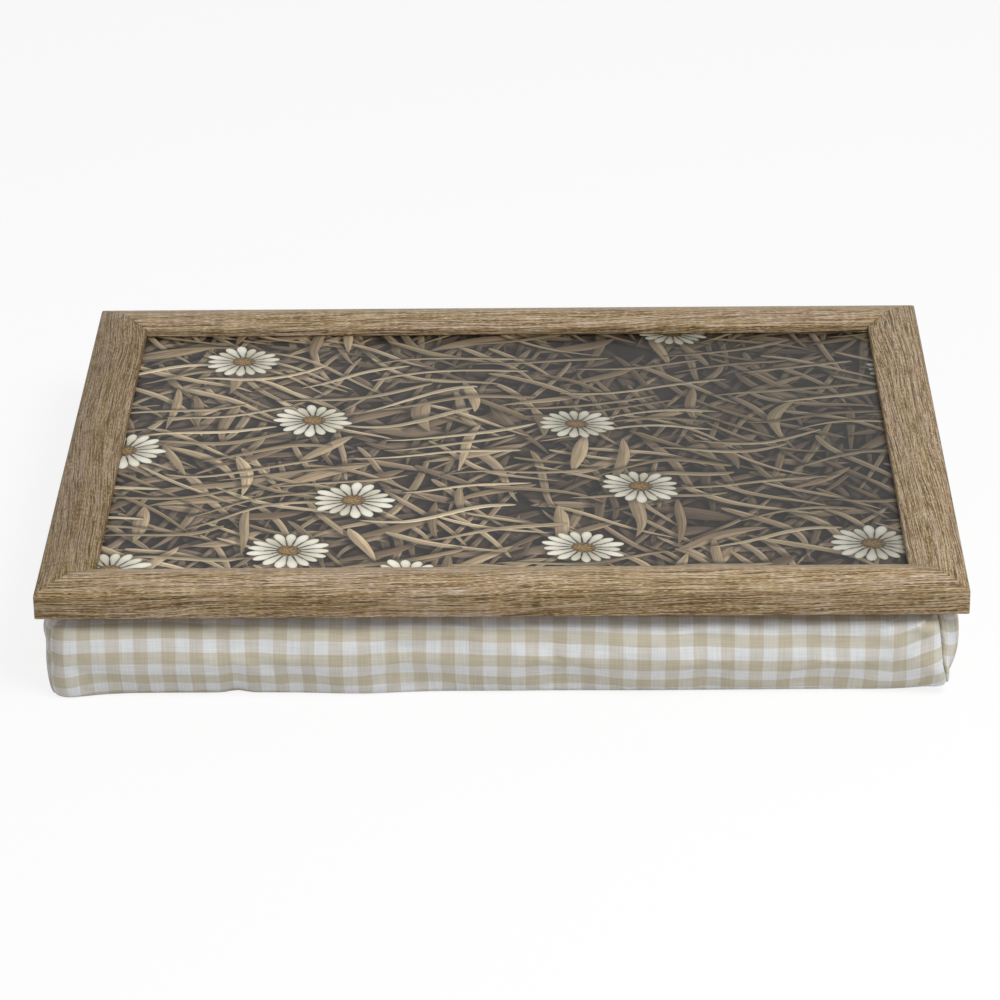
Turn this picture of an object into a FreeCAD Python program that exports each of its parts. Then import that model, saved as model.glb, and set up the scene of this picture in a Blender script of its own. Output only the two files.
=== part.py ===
import FreeCAD, Part
import Sketcher
import math
import os

# Lap tray with cushion: a mitred frame round a printed sheet, on a boxed cushion filled with beads.
# Millimetres. +X is to the user's right, +Y away from the user, +Z up. The origin lies on the
# surface that the cushion stands on, under its middle.

SIZES = {
    # Frame, from above and in the section of its moulding
    "tray_width": 430,
    "tray_depth": 330,
    "tray_rest_height": 44.5,
    "rail_width": 26.2,
    "side_height": 11.4,
    "edge_round": 1.8,
    "crest_inset": 13.6,
    "crest_height": 16.2,
    "crest_round": 14,
    "lip_height": 13.2,
    "lip_round": 1.2,
    "rebate_width": 6,
    "rebate_depth": 8.2,
    # What lies in the rebate
    "print_thickness": 0.5,
    "board_thickness": 3,
    "board_clearance": 0.5,
    # Steel driven into the frame
    "nail_arm": 5,
    "nail_thickness": 0.6,
    "nail_length": 9,
    "outer_nail_inset": 5,
    "inner_nail_inset": 12,
    "point_width": 5.5,
    "point_thickness": 0.5,
    "point_taper": 3.5,
    "point_grip": 6,
    "point_reach": 8,
    "point_end_distance": 65,
    "point_spacing": 100,
    # Hook tapes under the board and loop tapes on the cushion
    "tape_width": 20,
    "hook_thickness": 1.8,
    "loop_thickness": 1.8,
    "tape_gap": 0.2,
    "tape_inset": 50,
    "tape_end_distance": 90,
    # Cushion cover and fill
    "cushion_setback": 4,
    "top_seam_drop": 2.3,
    "bottom_seam_height": 2,
    "bulge_height": 29,
    "side_radius": 56,
    "corner_radius": 20,
    "corner_turn": 55,
    "crown_width": 26,
    "foot_inset": 5,
    "cloth_thickness": 0.8,
    "seam_allowance": 3,
    "fill_gap": 0.3,
}

SIDE_LEVELS = 9
TOOL_MARGIN = 10
UP = FreeCAD.Vector(0, 0, 1)

# Sizes that follow from the driving ones, as expressions on the sheet
HALF_WIDTH = "size.tray_width / 2"
HALF_DEPTH = "size.tray_depth / 2"
REBATE_WALL = "(size.rail_width - size.rebate_width)"
PRINT_BOTTOM = "(size.tray_rest_height + size.rebate_depth - size.print_thickness)"
BOARD_BOTTOM = f"({PRINT_BOTTOM} - size.board_thickness)"
HOOK_BOTTOM = f"({BOARD_BOTTOM} - size.hook_thickness)"
CROWN_TOP = f"({HOOK_BOTTOM} - size.tape_gap - size.loop_thickness)"
TOP_SEAM = "(size.tray_rest_height - size.top_seam_drop)"

# Each side of the tray: its turn about +Z, the half size towards it, its run, and which way is out
SIDES = {
    "front": (0, HALF_DEPTH, "size.tray_width", (0, -1)),
    "right": (90, HALF_WIDTH, "size.tray_depth", (1, 0)),
    "back": (180, HALF_DEPTH, "size.tray_width", (0, 1)),
    "left": (270, HALF_WIDTH, "size.tray_depth", (-1, 0)),
}

doc = FreeCAD.newDocument("lap_tray")
sheet = doc.addObject("Spreadsheet::Sheet", "size")
for row, (alias, number) in enumerate(SIZES.items(), start=1):
    sheet.set(f"A{row}", alias)
    sheet.set(f"B{row}", str(number))
    sheet.setAlias(f"B{row}", alias)
doc.recompute()
nodes = []


def value(expression):
    """The number that an expression on the sheet gives."""
    return float(sheet.evalExpression(expression))


def add(kind, label, **expressions):
    """A new document object with its label, its properties tied to the sheet."""
    thing = doc.addObject(kind, label)
    thing.Label = label
    for name, expression in expressions.items():
        thing.setExpression(name, expression)
    return thing


def feature(body, kind, name, **expressions):
    """A new feature or sketch of a body, its properties tied to the sheet."""
    thing = body.newObject(kind, name)
    for name, expression in expressions.items():
        thing.setExpression(name, expression)
    return thing


def place_on_side(thing, side, inset, height):
    """Puts a thing drawn along X, with +Y inwards, at its distance from the frame's outer edge."""
    turn, half, run, outward = SIDES[side]
    thing.Placement = FreeCAD.Placement(FreeCAD.Vector(), FreeCAD.Rotation(UP, turn))
    thing.setExpression("Placement.Base.x", f"({outward[0]}) * ({half} - {inset})")
    thing.setExpression("Placement.Base.y", f"({outward[1]}) * ({half} - {inset})")
    thing.setExpression("Placement.Base.z", height)


def new_sketch(body, name, plane):
    """An empty sketch on one of the body's own origin planes."""
    sketch = feature(body, "Sketcher::SketchObject", name)
    support = [item for item in body.Origin.OriginFeatures if item.Role == plane][0]
    sketch.AttachmentSupport = [(support, "")]
    sketch.MapMode = "FlatFace"
    return sketch


def constrain(sketch, kind, *where):
    """A constraint without a size."""
    sketch.addConstraint(Sketcher.Constraint(kind, *where))


def measure(sketch, kind, name, expression, *where):
    """A driving dimension with a name, tied to the sheet."""
    number = sketch.addConstraint(Sketcher.Constraint(kind, *where, value(expression)))
    sketch.renameConstraint(number, name)
    sketch.setExpression(f"Constraints.{name}", expression)


def draw_polygon(sketch, points):
    """Closed chain of straight lines through the points. Returns the number of its first line."""
    first = sketch.GeometryCount
    corners = [FreeCAD.Vector(x, y, 0) for x, y in points]
    for start, end in zip(corners, corners[1:] + corners[:1]):
        sketch.addGeometry(Part.LineSegment(start, end), False)
    count = len(points)
    for number in range(count):
        following = first + (number + 1) % count
        constrain(sketch, "Coincident", first + number, 2, following, 1)
    return first


def plate(label, length, width, thickness):
    """A flat rectangular piece, centred on its own Z axis, with its underside at its own zero."""
    body = add("PartDesign::Body", label)
    sketch = new_sketch(body, f"{label}_outline", "XY_Plane")
    x, y = value(length) / 2, value(width) / 2
    draw_polygon(sketch, [(-x, -y), (x, -y), (x, y), (-x, y)])
    for line in (0, 2):
        constrain(sketch, "Horizontal", line)
    for line in (1, 3):
        constrain(sketch, "Vertical", line)
    constrain(sketch, "Symmetric", 0, 1, 2, 1, -1, 1)
    measure(sketch, "DistanceX", "length", length, 0, 1, 0, 2)
    measure(sketch, "DistanceY", "width", width, 1, 1, 1, 2)
    pad = feature(body, "PartDesign::Pad", f"{label}_pad", Length=thickness)
    pad.Profile = sketch
    return body


def draw_moulding(sketch):
    """The moulding's section, from its outer edge inwards: a rebate below, and on top a crest whose
    arc runs by two tangent slopes into the rounded outer edge and the rounded lip."""
    width, wall = value("size.rail_width"), value(REBATE_WALL)
    rebate, side = value("size.rebate_depth"), value("size.side_height")
    edge_round, lip_round = value("size.edge_round"), value("size.lip_round")
    lip = value("size.lip_height") - lip_round
    crest_round = value("size.crest_round")
    crest = FreeCAD.Vector(value("size.crest_inset"), value("size.crest_height") - crest_round, 0)
    slope_guess = math.radians(15)
    inner_normal, outer_normal = math.pi / 2 - slope_guess, math.pi / 2 + slope_guess

    def point(x, y):
        return FreeCAD.Vector(x, y, 0)

    def on_arc(centre, radius, angle):
        return centre + point(radius * math.cos(angle), radius * math.sin(angle))

    def line(start, end):
        return sketch.addGeometry(Part.LineSegment(start, end), False)

    def arc(centre, radius, start, end):
        return sketch.addGeometry(Part.ArcOfCircle(Part.Circle(centre, UP, radius), start, end), False)

    lip_centre, edge_centre = point(width - lip_round, lip), point(edge_round, side)
    underside = line(point(0, 0), point(wall, 0))
    rebate_wall = line(point(wall, 0), point(wall, rebate))
    rebate_top = line(point(wall, rebate), point(width, rebate))
    inner_wall = line(point(width, rebate), point(width, lip))
    lip_arc = arc(lip_centre, lip_round, 0, inner_normal)
    line(on_arc(lip_centre, lip_round, inner_normal), on_arc(crest, crest_round, inner_normal))
    crest_arc = arc(crest, crest_round, inner_normal, outer_normal)
    line(on_arc(crest, crest_round, outer_normal), on_arc(edge_centre, edge_round, outer_normal))
    edge_arc = arc(edge_centre, edge_round, outer_normal, math.pi)
    outer_wall = line(point(0, side), point(0, 0))

    for before in range(underside, inner_wall):
        constrain(sketch, "Coincident", before, 2, before + 1, 1)
    constrain(sketch, "Coincident", outer_wall, 2, underside, 1)
    for before in range(inner_wall, outer_wall):
        constrain(sketch, "Tangent", before, 2, before + 1, 1)
    constrain(sketch, "Coincident", underside, 1, -1, 1)
    for level in (underside, rebate_top):
        constrain(sketch, "Horizontal", level)
    for upright in (rebate_wall, inner_wall, outer_wall):
        constrain(sketch, "Vertical", upright)
    measure(sketch, "DistanceX", "wall", REBATE_WALL, underside, 1, underside, 2)
    measure(sketch, "DistanceY", "rebate_depth", "size.rebate_depth", rebate_wall, 1, rebate_wall, 2)
    measure(sketch, "DistanceX", "rebate_width", "size.rebate_width", rebate_top, 1, rebate_top, 2)
    measure(sketch, "Radius", "lip_round", "size.lip_round", lip_arc)
    measure(sketch, "Radius", "crest_round", "size.crest_round", crest_arc)
    measure(sketch, "Radius", "edge_round", "size.edge_round", edge_arc)
    measure(sketch, "DistanceY", "lip", "size.lip_height - size.lip_round", -1, 1, lip_arc, 3)
    measure(sketch, "DistanceX", "crest_inset", "size.crest_inset", -1, 1, crest_arc, 3)
    measure(sketch, "DistanceY", "crest", "size.crest_height - size.crest_round", -1, 1, crest_arc, 3)
    measure(sketch, "DistanceY", "side", "size.side_height", -1, 1, edge_arc, 3)


def rail_blank(side):
    """One length of moulding, cut at 45 degrees at both ends."""
    run = SIDES[side][2]
    body = add("PartDesign::Body", f"{side}_rail_blank")
    section = new_sketch(body, f"{side}_moulding", "YZ_Plane")
    draw_moulding(section)
    pad = feature(body, "PartDesign::Pad", f"{side}_length", Length=run)
    pad.Profile = section
    pad.SideType = "Symmetric"
    doc.recompute()
    square_volume = pad.Shape.Volume
    mitres = new_sketch(body, f"{side}_mitres", "XY_Plane")
    half, width = value(run) / 2, value("size.rail_width")
    far = TOOL_MARGIN
    for way in (-1, 1):
        outer = (way * (half + far), -far)
        above = (way * (half + far), width + far)
        inner = (way * (half - width - far), width + far)
        first = draw_polygon(mitres, [outer, above, inner])
        constrain(mitres, "Vertical", first)
        constrain(mitres, "Horizontal", first + 1)
        reach = f"{run} / 2 + {far}"
        order = (-1, 1, first, 1) if way > 0 else (first, 1, -1, 1)
        measure(mitres, "DistanceX", f"reach_{first}", reach, *order)
        measure(mitres, "DistanceY", f"below_{first}", f"{far}", first, 1, -1, 1)
        measure(mitres, "DistanceY", f"rise_{first}", f"size.rail_width + {2 * far}", first, 1, first, 2)
        order = (first + 1, 2, first + 1, 1) if way > 0 else (first + 1, 1, first + 1, 2)
        measure(mitres, "DistanceX", f"cut_{first}", f"size.rail_width + {2 * far}", *order)
    pocket = feature(body, "PartDesign::Pocket", f"{side}_mitre_cut")
    pocket.Profile = mitres
    pocket.Type = "ThroughAll"
    pocket.Reversed = True
    place_on_side(body, side, "0", "size.tray_rest_height")
    doc.recompute()
    assert body.Shape.Volume < square_volume, f"{side} mitres cut nothing"
    return body


def wedge_nails():
    """Two V-shaped nails in each mitre, flush with the underside: an arm in each of the two rails."""
    nails = []
    for where in ("outer", "inner"):
        corner_x = f"{HALF_WIDTH} - size.{where}_nail_inset"
        corner_y = f"size.{where}_nail_inset - {HALF_DEPTH}"
        arms = []
        for way, length, width in (("front", "size.nail_arm", "size.nail_thickness"),
                                   ("right", "size.nail_thickness", "size.nail_arm")):
            arm = add("Part::Box", f"{where}_nail_{way}_arm", Length=length, Width=width)
            arm.setExpression("Height", "size.nail_length")
            arm.setExpression("Placement.Base.x", f"{corner_x} - {length}")
            arm.setExpression("Placement.Base.y", corner_y)
            arm.setExpression("Placement.Base.z", "size.tray_rest_height")
            arms.append(arm)
        nail = add("Part::MultiFuse", f"{where}_nail")
        nail.Shapes = arms
        nails.append(nail)
    group = add("Part::Compound", "right_front_nails")
    group.Links = nails
    across, away = FreeCAD.Vector(1, 0, 0), FreeCAD.Vector(0, 1, 0)
    for name, normal in (("front_nails", across), ("wedge_nails", away)):
        mirror = add("Part::Mirroring", f"{name}_mirrored")
        mirror.Source = group
        mirror.Normal = normal
        pair = add("Part::Compound", name)
        pair.Links = [group, mirror]
        group = pair
    group.Label = "corner_wedge_nails"
    return group


def framing_points(side):
    """A row of flat steel points under the board, their tips driven into the wall of the rebate."""
    run = SIDES[side][2]
    span = f"({run} - 2 * size.point_end_distance)"
    body = add("PartDesign::Body", f"{side}_points")
    sketch = new_sketch(body, f"{side}_point", "XY_Plane")
    half, middle = value("size.point_width") / 2, -value(span) / 2
    grip, reach = value("size.point_grip"), value("size.point_reach")
    shoulder = value("size.point_taper") - grip
    draw_polygon(sketch, [(middle, -grip), (middle + half, shoulder), (middle + half, reach),
                          (middle - half, reach), (middle - half, shoulder)])
    right_taper, right_edge, tail, left_edge, left_taper = range(5)
    for edge in (right_edge, left_edge):
        constrain(sketch, "Vertical", edge)
    constrain(sketch, "Horizontal", tail)
    constrain(sketch, "Equal", right_edge, left_edge)
    constrain(sketch, "Equal", right_taper, left_taper)
    measure(sketch, "DistanceX", "start", f"{span} / 2", right_taper, 1, -1, 1)
    measure(sketch, "DistanceY", "grip", "size.point_grip", right_taper, 1, -1, 1)
    measure(sketch, "DistanceY", "taper", "size.point_taper", right_taper, 1, right_taper, 2)
    measure(sketch, "DistanceY", "reach", "size.point_reach", -1, 1, tail, 1)
    measure(sketch, "DistanceX", "width", "size.point_width", tail, 2, tail, 1)
    pad = feature(body, "PartDesign::Pad", f"{side}_point_pad", Length="size.point_thickness")
    pad.Profile = sketch
    row_of_points = feature(body, "PartDesign::LinearPattern", f"{side}_point_row", Length=span)
    row_of_points.Originals = [pad]
    row_of_points.Direction = (sketch, ["H_Axis"])
    row_of_points.Occurrences = 1 + round(value(f"{span} / size.point_spacing"))
    body.Tip = row_of_points
    place_on_side(body, side, REBATE_WALL, f"{BOARD_BOTTOM} - size.point_thickness")
    return body


def cushion_outline(inset, height, corner_radius):
    """Level line round the cushion, inset from its widest line: on each side a straight stretch
    between two arcs. Both arcs at a corner turn by more than 45 degrees, so they meet in a crease
    at the seam, on the corner's diagonal."""
    turn = math.radians(value("size.corner_turn"))
    setback = value("size.cushion_setback") + inset
    seam = corner_radius * (1 - math.cos(turn))
    half_turn_drop = corner_radius * (1 - math.cos(turn / 2))
    edges = []
    for side_turn, half, run, outward in SIDES.values():
        along = FreeCAD.Vector(-outward[1], outward[0], 0)
        out = FreeCAD.Vector(outward[0], outward[1], 0)
        reach, half_run = value(half) - setback, value(run) / 2 - setback
        straight = half_run - seam - corner_radius * math.sin(turn)
        half_turn = straight + corner_radius * math.sin(turn / 2)

        def point(x, drop):
            return along * x + out * (reach - drop) + UP * height

        seams = [point(way * (half_run - seam), seam) for way in (-1, 1)]
        middles = [point(way * half_turn, half_turn_drop) for way in (-1, 1)]
        ends = [point(way * straight, 0) for way in (-1, 1)]
        edges.append(Part.Arc(seams[0], middles[0], ends[0]).toShape())
        edges.append(Part.LineSegment(ends[0], ends[1]).toShape())
        edges.append(Part.Arc(ends[1], middles[1], seams[1]).toShape())
    return Part.Wire(edges)


def drawn_in(height):
    """How far the side lies inside the widest line: seen from its end, the side is an arc."""
    radius = value("size.side_radius")
    return radius - math.sqrt(radius ** 2 - (height - value("size.bulge_height")) ** 2)


def loft(levels, shrink=0):
    """Closed solid through cushion outlines given as (inset, height), straight from each to the next."""
    corner = value("size.corner_radius") - shrink
    outlines = [cushion_outline(inset + shrink, height, corner) for inset, height in levels]
    return Part.makeLoft(outlines, True, True)


def side_loft(shrink, low, high):
    """The bulging part of the cushion between two heights, shrunk on its sides."""
    heights = [low + (high - low) * number / (SIDE_LEVELS - 1) for number in range(SIDE_LEVELS)]
    return loft([(drawn_in(height), height) for height in heights], shrink)


def corner_wedge(side):
    """Everything between the two diagonals that end one side of the cushion."""
    turn, half, run, outward = SIDES[side]
    along = FreeCAD.Vector(-outward[1], outward[0], 0)
    out = FreeCAD.Vector(outward[0], outward[1], 0)
    depth = 2 * value("size.corner_radius")
    outline = []
    for way, step in ((-1, TOOL_MARGIN), (1, TOOL_MARGIN), (1, -depth), (-1, -depth)):
        outline.append(along * (way * (value(run) / 2 + step)) + out * (value(half) + step))
    face = Part.Face(Part.makePolygon(outline + outline[:1]))
    return face.extrude(UP * value("size.tray_rest_height"))


def cushion():
    """The sewn cover in six panels, and the beads inside as one body."""
    cloth, gap = value("size.cloth_thickness"), value("size.fill_gap")
    low, high, crown = value("size.bottom_seam_height"), value(TOP_SEAM), value(CROWN_TOP)
    allowance = value("size.seam_allowance")
    low_inset, high_inset = drawn_in(low), drawn_in(high)
    foot_inset = low_inset + value("size.foot_inset")
    crown_inset = high_inset + value("size.crown_width")

    def crown_loft(start, drop):
        return loft([(high_inset + start, high), (crown_inset, crown - drop)])

    def foot_loft(start, rise):
        return loft([(foot_inset, rise), (low_inset + start, low)])

    sides = side_loft(0, low, high).cut(side_loft(cloth, low, high))
    top_inside, foot_inside = crown_loft(allowance, cloth), foot_loft(allowance, cloth)
    shapes = {f"cushion_{side}_panel": sides.common(corner_wedge(side)) for side in SIDES}
    shapes["cushion_top_panel"] = crown_loft(0, 0).cut(top_inside)
    shapes["cushion_bottom_panel"] = foot_loft(0, 0).cut(foot_inside)
    beads = side_loft(cloth + gap, low + gap, high - gap)
    for cap, shift in ((top_inside, -gap), (foot_inside, gap)):
        beads = beads.fuse(cap.translated(UP * shift))
    shapes["bead_fill"] = beads.removeSplitter()
    for label, shape in shapes.items():
        piece = add("Part::Feature", label)
        piece.Shape = shape.Solids[0]
        piece.Placement = FreeCAD.Placement()
        assert len(shape.Solids) == 1, f"{label} is in {len(shape.Solids)} pieces"
        nodes.append(piece)


# Frame: four rails with slits for the steel that is driven into them
nails = wedge_nails()
points = add("Part::Compound", "framing_points")
points.Links = [framing_points(side) for side in SIDES]
steel = add("Part::Compound", "driven_steel")
steel.Links = [nails, points]
for side in SIDES:
    rail = add("Part::Cut", f"{side}_rail")
    rail.Base = rail_blank(side)
    rail.Tool = steel
    nodes.append(rail)
nodes += [nails, points]

# Printed sheet and backing board, with room all round in the rebate
bay_width = f"size.tray_width - 2 * ({REBATE_WALL} + size.board_clearance)"
bay_depth = f"size.tray_depth - 2 * ({REBATE_WALL} + size.board_clearance)"
for label, thickness, underside in (("printed_top_sheet", "size.print_thickness", PRINT_BOTTOM),
                                    ("backing_board", "size.board_thickness", BOARD_BOTTOM)):
    board = plate(label, bay_width, bay_depth, thickness)
    board.setExpression("Placement.Base.z", underside)
    nodes.append(board)

# Hook tapes under the board, and loop tapes on the crown of the cushion
for kind, underside in (("hook", HOOK_BOTTOM), ("loop", CROWN_TOP)):
    for side in SIDES:
        tape_length = f"{SIDES[side][2]} - 2 * size.tape_end_distance"
        tape = plate(f"{kind}_strip_{side}", tape_length, "size.tape_width", f"size.{kind}_thickness")
        place_on_side(tape, side, "size.tape_inset", underside)
        nodes.append(tape)

cushion()
doc.recompute()

for item in doc.Objects:
    assert not {"Invalid", "Error"} & set(item.State), f"{item.Label} failed: {item.State}"
for node in nodes:
    assert not node.Shape.isNull() and node.Shape.isValid(), f"{node.Label} has no valid shape"

os.makedirs("parts", exist_ok=True)
for node in nodes:
    node.Shape.exportStep(f"parts/{node.Label}.step")
    print(f"{node.Label}: {len(node.Shape.Solids)} solids, {node.Shape.Volume:.0f} mm3")
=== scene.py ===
# %% [markdown]
# # Lap tray with cushion
# A tray for eating or writing on the lap: a mitred frame in oak-effect foil round a printed sheet,
# held by hook-and-loop tape on a boxed cushion of gingham cotton filled with beads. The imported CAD
# model gives the sizes and the place of every piece. This lesson dresses it: it models the pieces
# that show, gives each its finish, and sets up the light and the camera.

# %% Load the frame
import math

import bmesh
import bpy
import numpy as np
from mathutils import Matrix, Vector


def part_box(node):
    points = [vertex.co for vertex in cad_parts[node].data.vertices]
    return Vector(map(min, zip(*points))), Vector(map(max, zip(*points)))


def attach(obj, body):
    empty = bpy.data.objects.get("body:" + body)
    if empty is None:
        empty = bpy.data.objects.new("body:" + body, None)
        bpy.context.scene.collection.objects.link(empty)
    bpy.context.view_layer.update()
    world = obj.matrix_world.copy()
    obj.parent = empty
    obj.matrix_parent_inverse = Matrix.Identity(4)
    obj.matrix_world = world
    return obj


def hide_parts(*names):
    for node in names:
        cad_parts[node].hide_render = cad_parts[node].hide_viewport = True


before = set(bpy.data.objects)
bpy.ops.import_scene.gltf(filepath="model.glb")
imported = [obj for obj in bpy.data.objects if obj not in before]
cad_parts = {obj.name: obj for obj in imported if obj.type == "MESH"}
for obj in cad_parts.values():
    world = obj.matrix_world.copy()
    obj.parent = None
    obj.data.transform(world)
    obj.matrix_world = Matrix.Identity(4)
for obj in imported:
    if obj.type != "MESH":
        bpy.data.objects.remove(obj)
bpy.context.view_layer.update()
MM = 0.001

# %% [markdown]
# ## Camera
# The photograph was taken with a long lens from a little above the tray. The camera's angles and
# distance below were fitted to the eight corners of the frame and the inner edges of its rails, so
# the render can be laid over the photograph. A focal length in pixels becomes a lens in millimetres
# through the sensor width over the picture's 1000 pixels.

# %% Camera at the photograph's place
PICTURE = 1000
SENSOR = 36.0
FOCAL_PIXELS = 4189
ELEVATION = math.radians(25.89)
AZIMUTH = math.radians(0.942)
ROLL = math.radians(-0.765)
DISTANCE = 2083 * MM
TARGET = np.array([-2.57, 0.0, 24.23]) * MM


def direction(azimuth, elevation):
    """Unit vector at an angle round from the front towards the right, and an angle up."""
    level = math.cos(elevation)
    return np.array([math.sin(azimuth) * level, -math.cos(azimuth) * level, math.sin(elevation)])


def placed(name, data):
    """A new object in the scene with these data."""
    made = bpy.data.objects.new(name, data)
    bpy.context.scene.collection.objects.link(made)
    return made


backwards = direction(AZIMUTH, ELEVATION)
level_right = np.cross(-backwards, [0.0, 0.0, 1.0])
level_right /= np.linalg.norm(level_right)
level_up = np.cross(level_right, -backwards)
right = level_right * math.cos(ROLL) + level_up * math.sin(ROLL)
upward = level_up * math.cos(ROLL) - level_right * math.sin(ROLL)

camera_data = bpy.data.cameras.new("Long lens")
camera_data.sensor_width = SENSOR
camera_data.lens = FOCAL_PIXELS / PICTURE * SENSOR
camera = placed("Camera", camera_data)
matrix = np.eye(4)
matrix[:3, :3] = np.stack([right, upward, backwards], axis=1)
matrix[:3, 3] = TARGET + backwards * DISTANCE
camera.matrix_world = matrix.T.tolist()
bpy.context.scene.camera = camera
print("Lens:", round(camera_data.lens, 1), "mm")

# %% [markdown]
# ## Colours and shader nodes
# Colours are written as sRGB hex values, as they would be picked with a colour card, and one function
# turns them to the linear values that shaders work in. Another adds a shader node with its settings
# and links, so a material further down reads as the list of steps that it is made of. Most sockets
# go by their order or name. A Mix node has sockets for every kind of value: its share is number 0,
# its two colours are numbers 6 and 7, and the mixed colour is output number 2.

# %% Colour and node helpers


def linear(code):
    """Linear RGBA of an sRGB hex code: each channel goes through the sRGB decoding curve."""
    channels = np.array([int(code[i:i + 2], 16) / 255 for i in (1, 3, 5)])
    low = channels / 12.92
    high = ((channels + 0.055) / 1.055) ** 2.4
    return (*np.where(channels <= 0.04045, low, high), 1.0)


def add(tree, kind, inputs=(), **settings):
    """Adds one shader node with its settings and links, and gives its outputs.

    Inputs come in the order of the node's sockets, or by their names or numbers. Each one is a number,
    a colour, a vector or another node's output."""
    made = tree.nodes.new(kind if kind.startswith("NodeGroup") else "ShaderNode" + kind)
    for name, value in settings.items():
        setattr(made, name, value)
    by_key = inputs if isinstance(inputs, dict) else dict(enumerate(inputs))
    for key, value in by_key.items():
        if isinstance(value, bpy.types.NodeSocket):
            tree.links.new(value, made.inputs[key])
        else:
            made.inputs[key].default_value = value
    return made.outputs


def new_material(name):
    """An empty node material and its tree."""
    material = bpy.data.materials.new(name)
    material.use_nodes = True
    material.node_tree.nodes.clear()
    return material, material.node_tree


# %% [markdown]
# ## Light and floor
# The photograph was lit softly from above, a little from the front and the right, on white. A large
# lamp stands there, and a pale world fills in from all round. The levels are such that a white card on
# the tray would render just under white. The floor is a wide sheet that the camera sees as white with
# a faint shadow. To the light it is a shade darker, so that less of it comes back up under the frame.

# %% World, lamp and floor
scene = bpy.context.scene
scene.view_settings.view_transform = "Standard"

WORLD_LIGHT = 0.42
LAMP_CARD = 0.69
LAMP_DISTANCE = 1.9
LAMP_SIDE = 0.9
LAMP_ELEVATION = math.radians(55)
LAMP_AZIMUTH = math.radians(38)
FLOOR_SIDE = 12.0
FLOOR_SHADOW = 0.15
FLOOR_SEEN = "#f4f4f4"
FLOOR_BOUNCE = "#e8e8e8"
WHITE = (1.0, 1.0, 1.0, 1.0)


def seen(tree):
    """One for light on its way to the eye: straight, mirrored or let through. Nought for the rest."""
    ray = add(tree, "LightPath")
    mirrored = add(tree, "Math", (ray["Is Camera Ray"], ray["Is Glossy Ray"]), operation="MAXIMUM")[0]
    return add(tree, "Math", (mirrored, ray["Is Transmission Ray"]), operation="MAXIMUM")[0]


world = bpy.data.worlds.new("White studio")
scene.world = world
world.use_nodes = True
tree = world.node_tree
tree.nodes.clear()
level = add(tree, "MapRange", (seen(tree), 0, 1, WORLD_LIGHT, 1))[0]
glow = add(tree, "Background", (WHITE, level))[0]
add(tree, "OutputWorld", (glow,))

lamp_data = bpy.data.lights.new("Soft lamp", "AREA")
lamp_data.shape = "SQUARE"
lamp_data.size = LAMP_SIDE
lamp_data.energy = LAMP_CARD * math.pi ** 2 * LAMP_DISTANCE ** 2
lamp = placed("Soft lamp", lamp_data)
lamp.rotation_euler = (math.pi / 2 - LAMP_ELEVATION, 0, LAMP_AZIMUTH)
lamp.location = LAMP_DISTANCE * direction(LAMP_AZIMUTH, LAMP_ELEVATION)

floor_paper, tree = new_material("White paper sweep")
to_eye = seen(tree)
own_light = add(tree, "Math", (to_eye, 1 - FLOOR_SHADOW), operation="MULTIPLY")[0]
paper = add(tree, "Mix", {0: to_eye, 6: linear(FLOOR_BOUNCE), 7: linear(FLOOR_SEEN)},
            data_type="RGBA")[2]
paper = add(tree, "BsdfDiffuse", (paper,))[0]
white = add(tree, "Emission", (WHITE, 1.0))[0]
both = add(tree, "MixShader", (own_light, paper, white))[0]
add(tree, "OutputMaterial", (both,))
floor_mesh = bpy.data.meshes.new("Floor")
corners = np.array([[-1, -1, 0], [1, -1, 0], [1, 1, 0], [-1, 1, 0]]) * FLOOR_SIDE / 2
floor_mesh.from_pydata(corners.tolist(), [], [[0, 1, 2, 3]])
floor_mesh.materials.append(floor_paper)
floor = placed("Floor", floor_mesh)
print("Lamp:", round(lamp_data.energy, 1), "W")

# %% [markdown]
# ## Oak-effect foil
# The rails aren't solid oak: they are moulded wood wrapped in a printed foil with the pores pressed
# into it. That gives the eye thin dark lines that run on for centimetres, fine fibres between them,
# short pores, pale flecks, slow changes from yellow to pink brown, and a satin sheen. The piece's UV
# map runs along the grain in metres, so every size below is a real one in millimetres, as (along,
# across) the grain. The lines are level lines of a stretched noise, as the rings of a tree are where
# it is cut along. Pores and flecks are the middles of stretched Voronoi cells, which makes them dashes
# with pointed ends. Real pores are about 0.2 mm wide. They are drawn at about 0.4 mm, so that they
# show.

# %% Patterns along the grain
GRAIN = "Cloth and grain"
DASH_EDGE = (0.26, 0.16)


def uv_millimetres(tree):
    """Place on the piece's UV map, in millimetres."""
    uv = add(tree, "UVMap", uv_map=GRAIN)[0]
    return add(tree, "VectorMath", {"Vector": uv, "Scale": 1 / MM}, operation="SCALE")[0]


def streaky(tree, place, size):
    """Noise in streaks of this size: the noise of the place over the size (along, across)."""
    place = add(tree, "Mapping", {"Vector": place, "Scale": (1 / size[0], 1 / size[1], 1)})[0]
    return add(tree, "TexNoise", {"Vector": place, "Scale": 1.0, "Detail": 1.0},
               noise_dimensions="2D")[0]


def dashes(tree, place, size, share, start=(0, 0, 0)):
    """One on a dash and nought beside it, for the middles of a share of the cells of this size."""
    place = add(tree, "Mapping", {
        "Vector": place, "Location": start, "Scale": (1 / size[0], 1 / size[1], 1)})[0]
    cells = add(tree, "TexVoronoi", {"Vector": place, "Scale": 1.0}, voronoi_dimensions="2D")
    dash = add(tree, "MapRange", (cells["Distance"], *DASH_EDGE), interpolation_type="SMOOTHSTEP")[0]
    chance = add(tree, "SeparateXYZ", (cells["Color"],))[0]
    chosen = add(tree, "Math", (chance, share), operation="LESS_THAN")[0]
    return add(tree, "Math", (dash, chosen), operation="MULTIPLY")[0]


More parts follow.
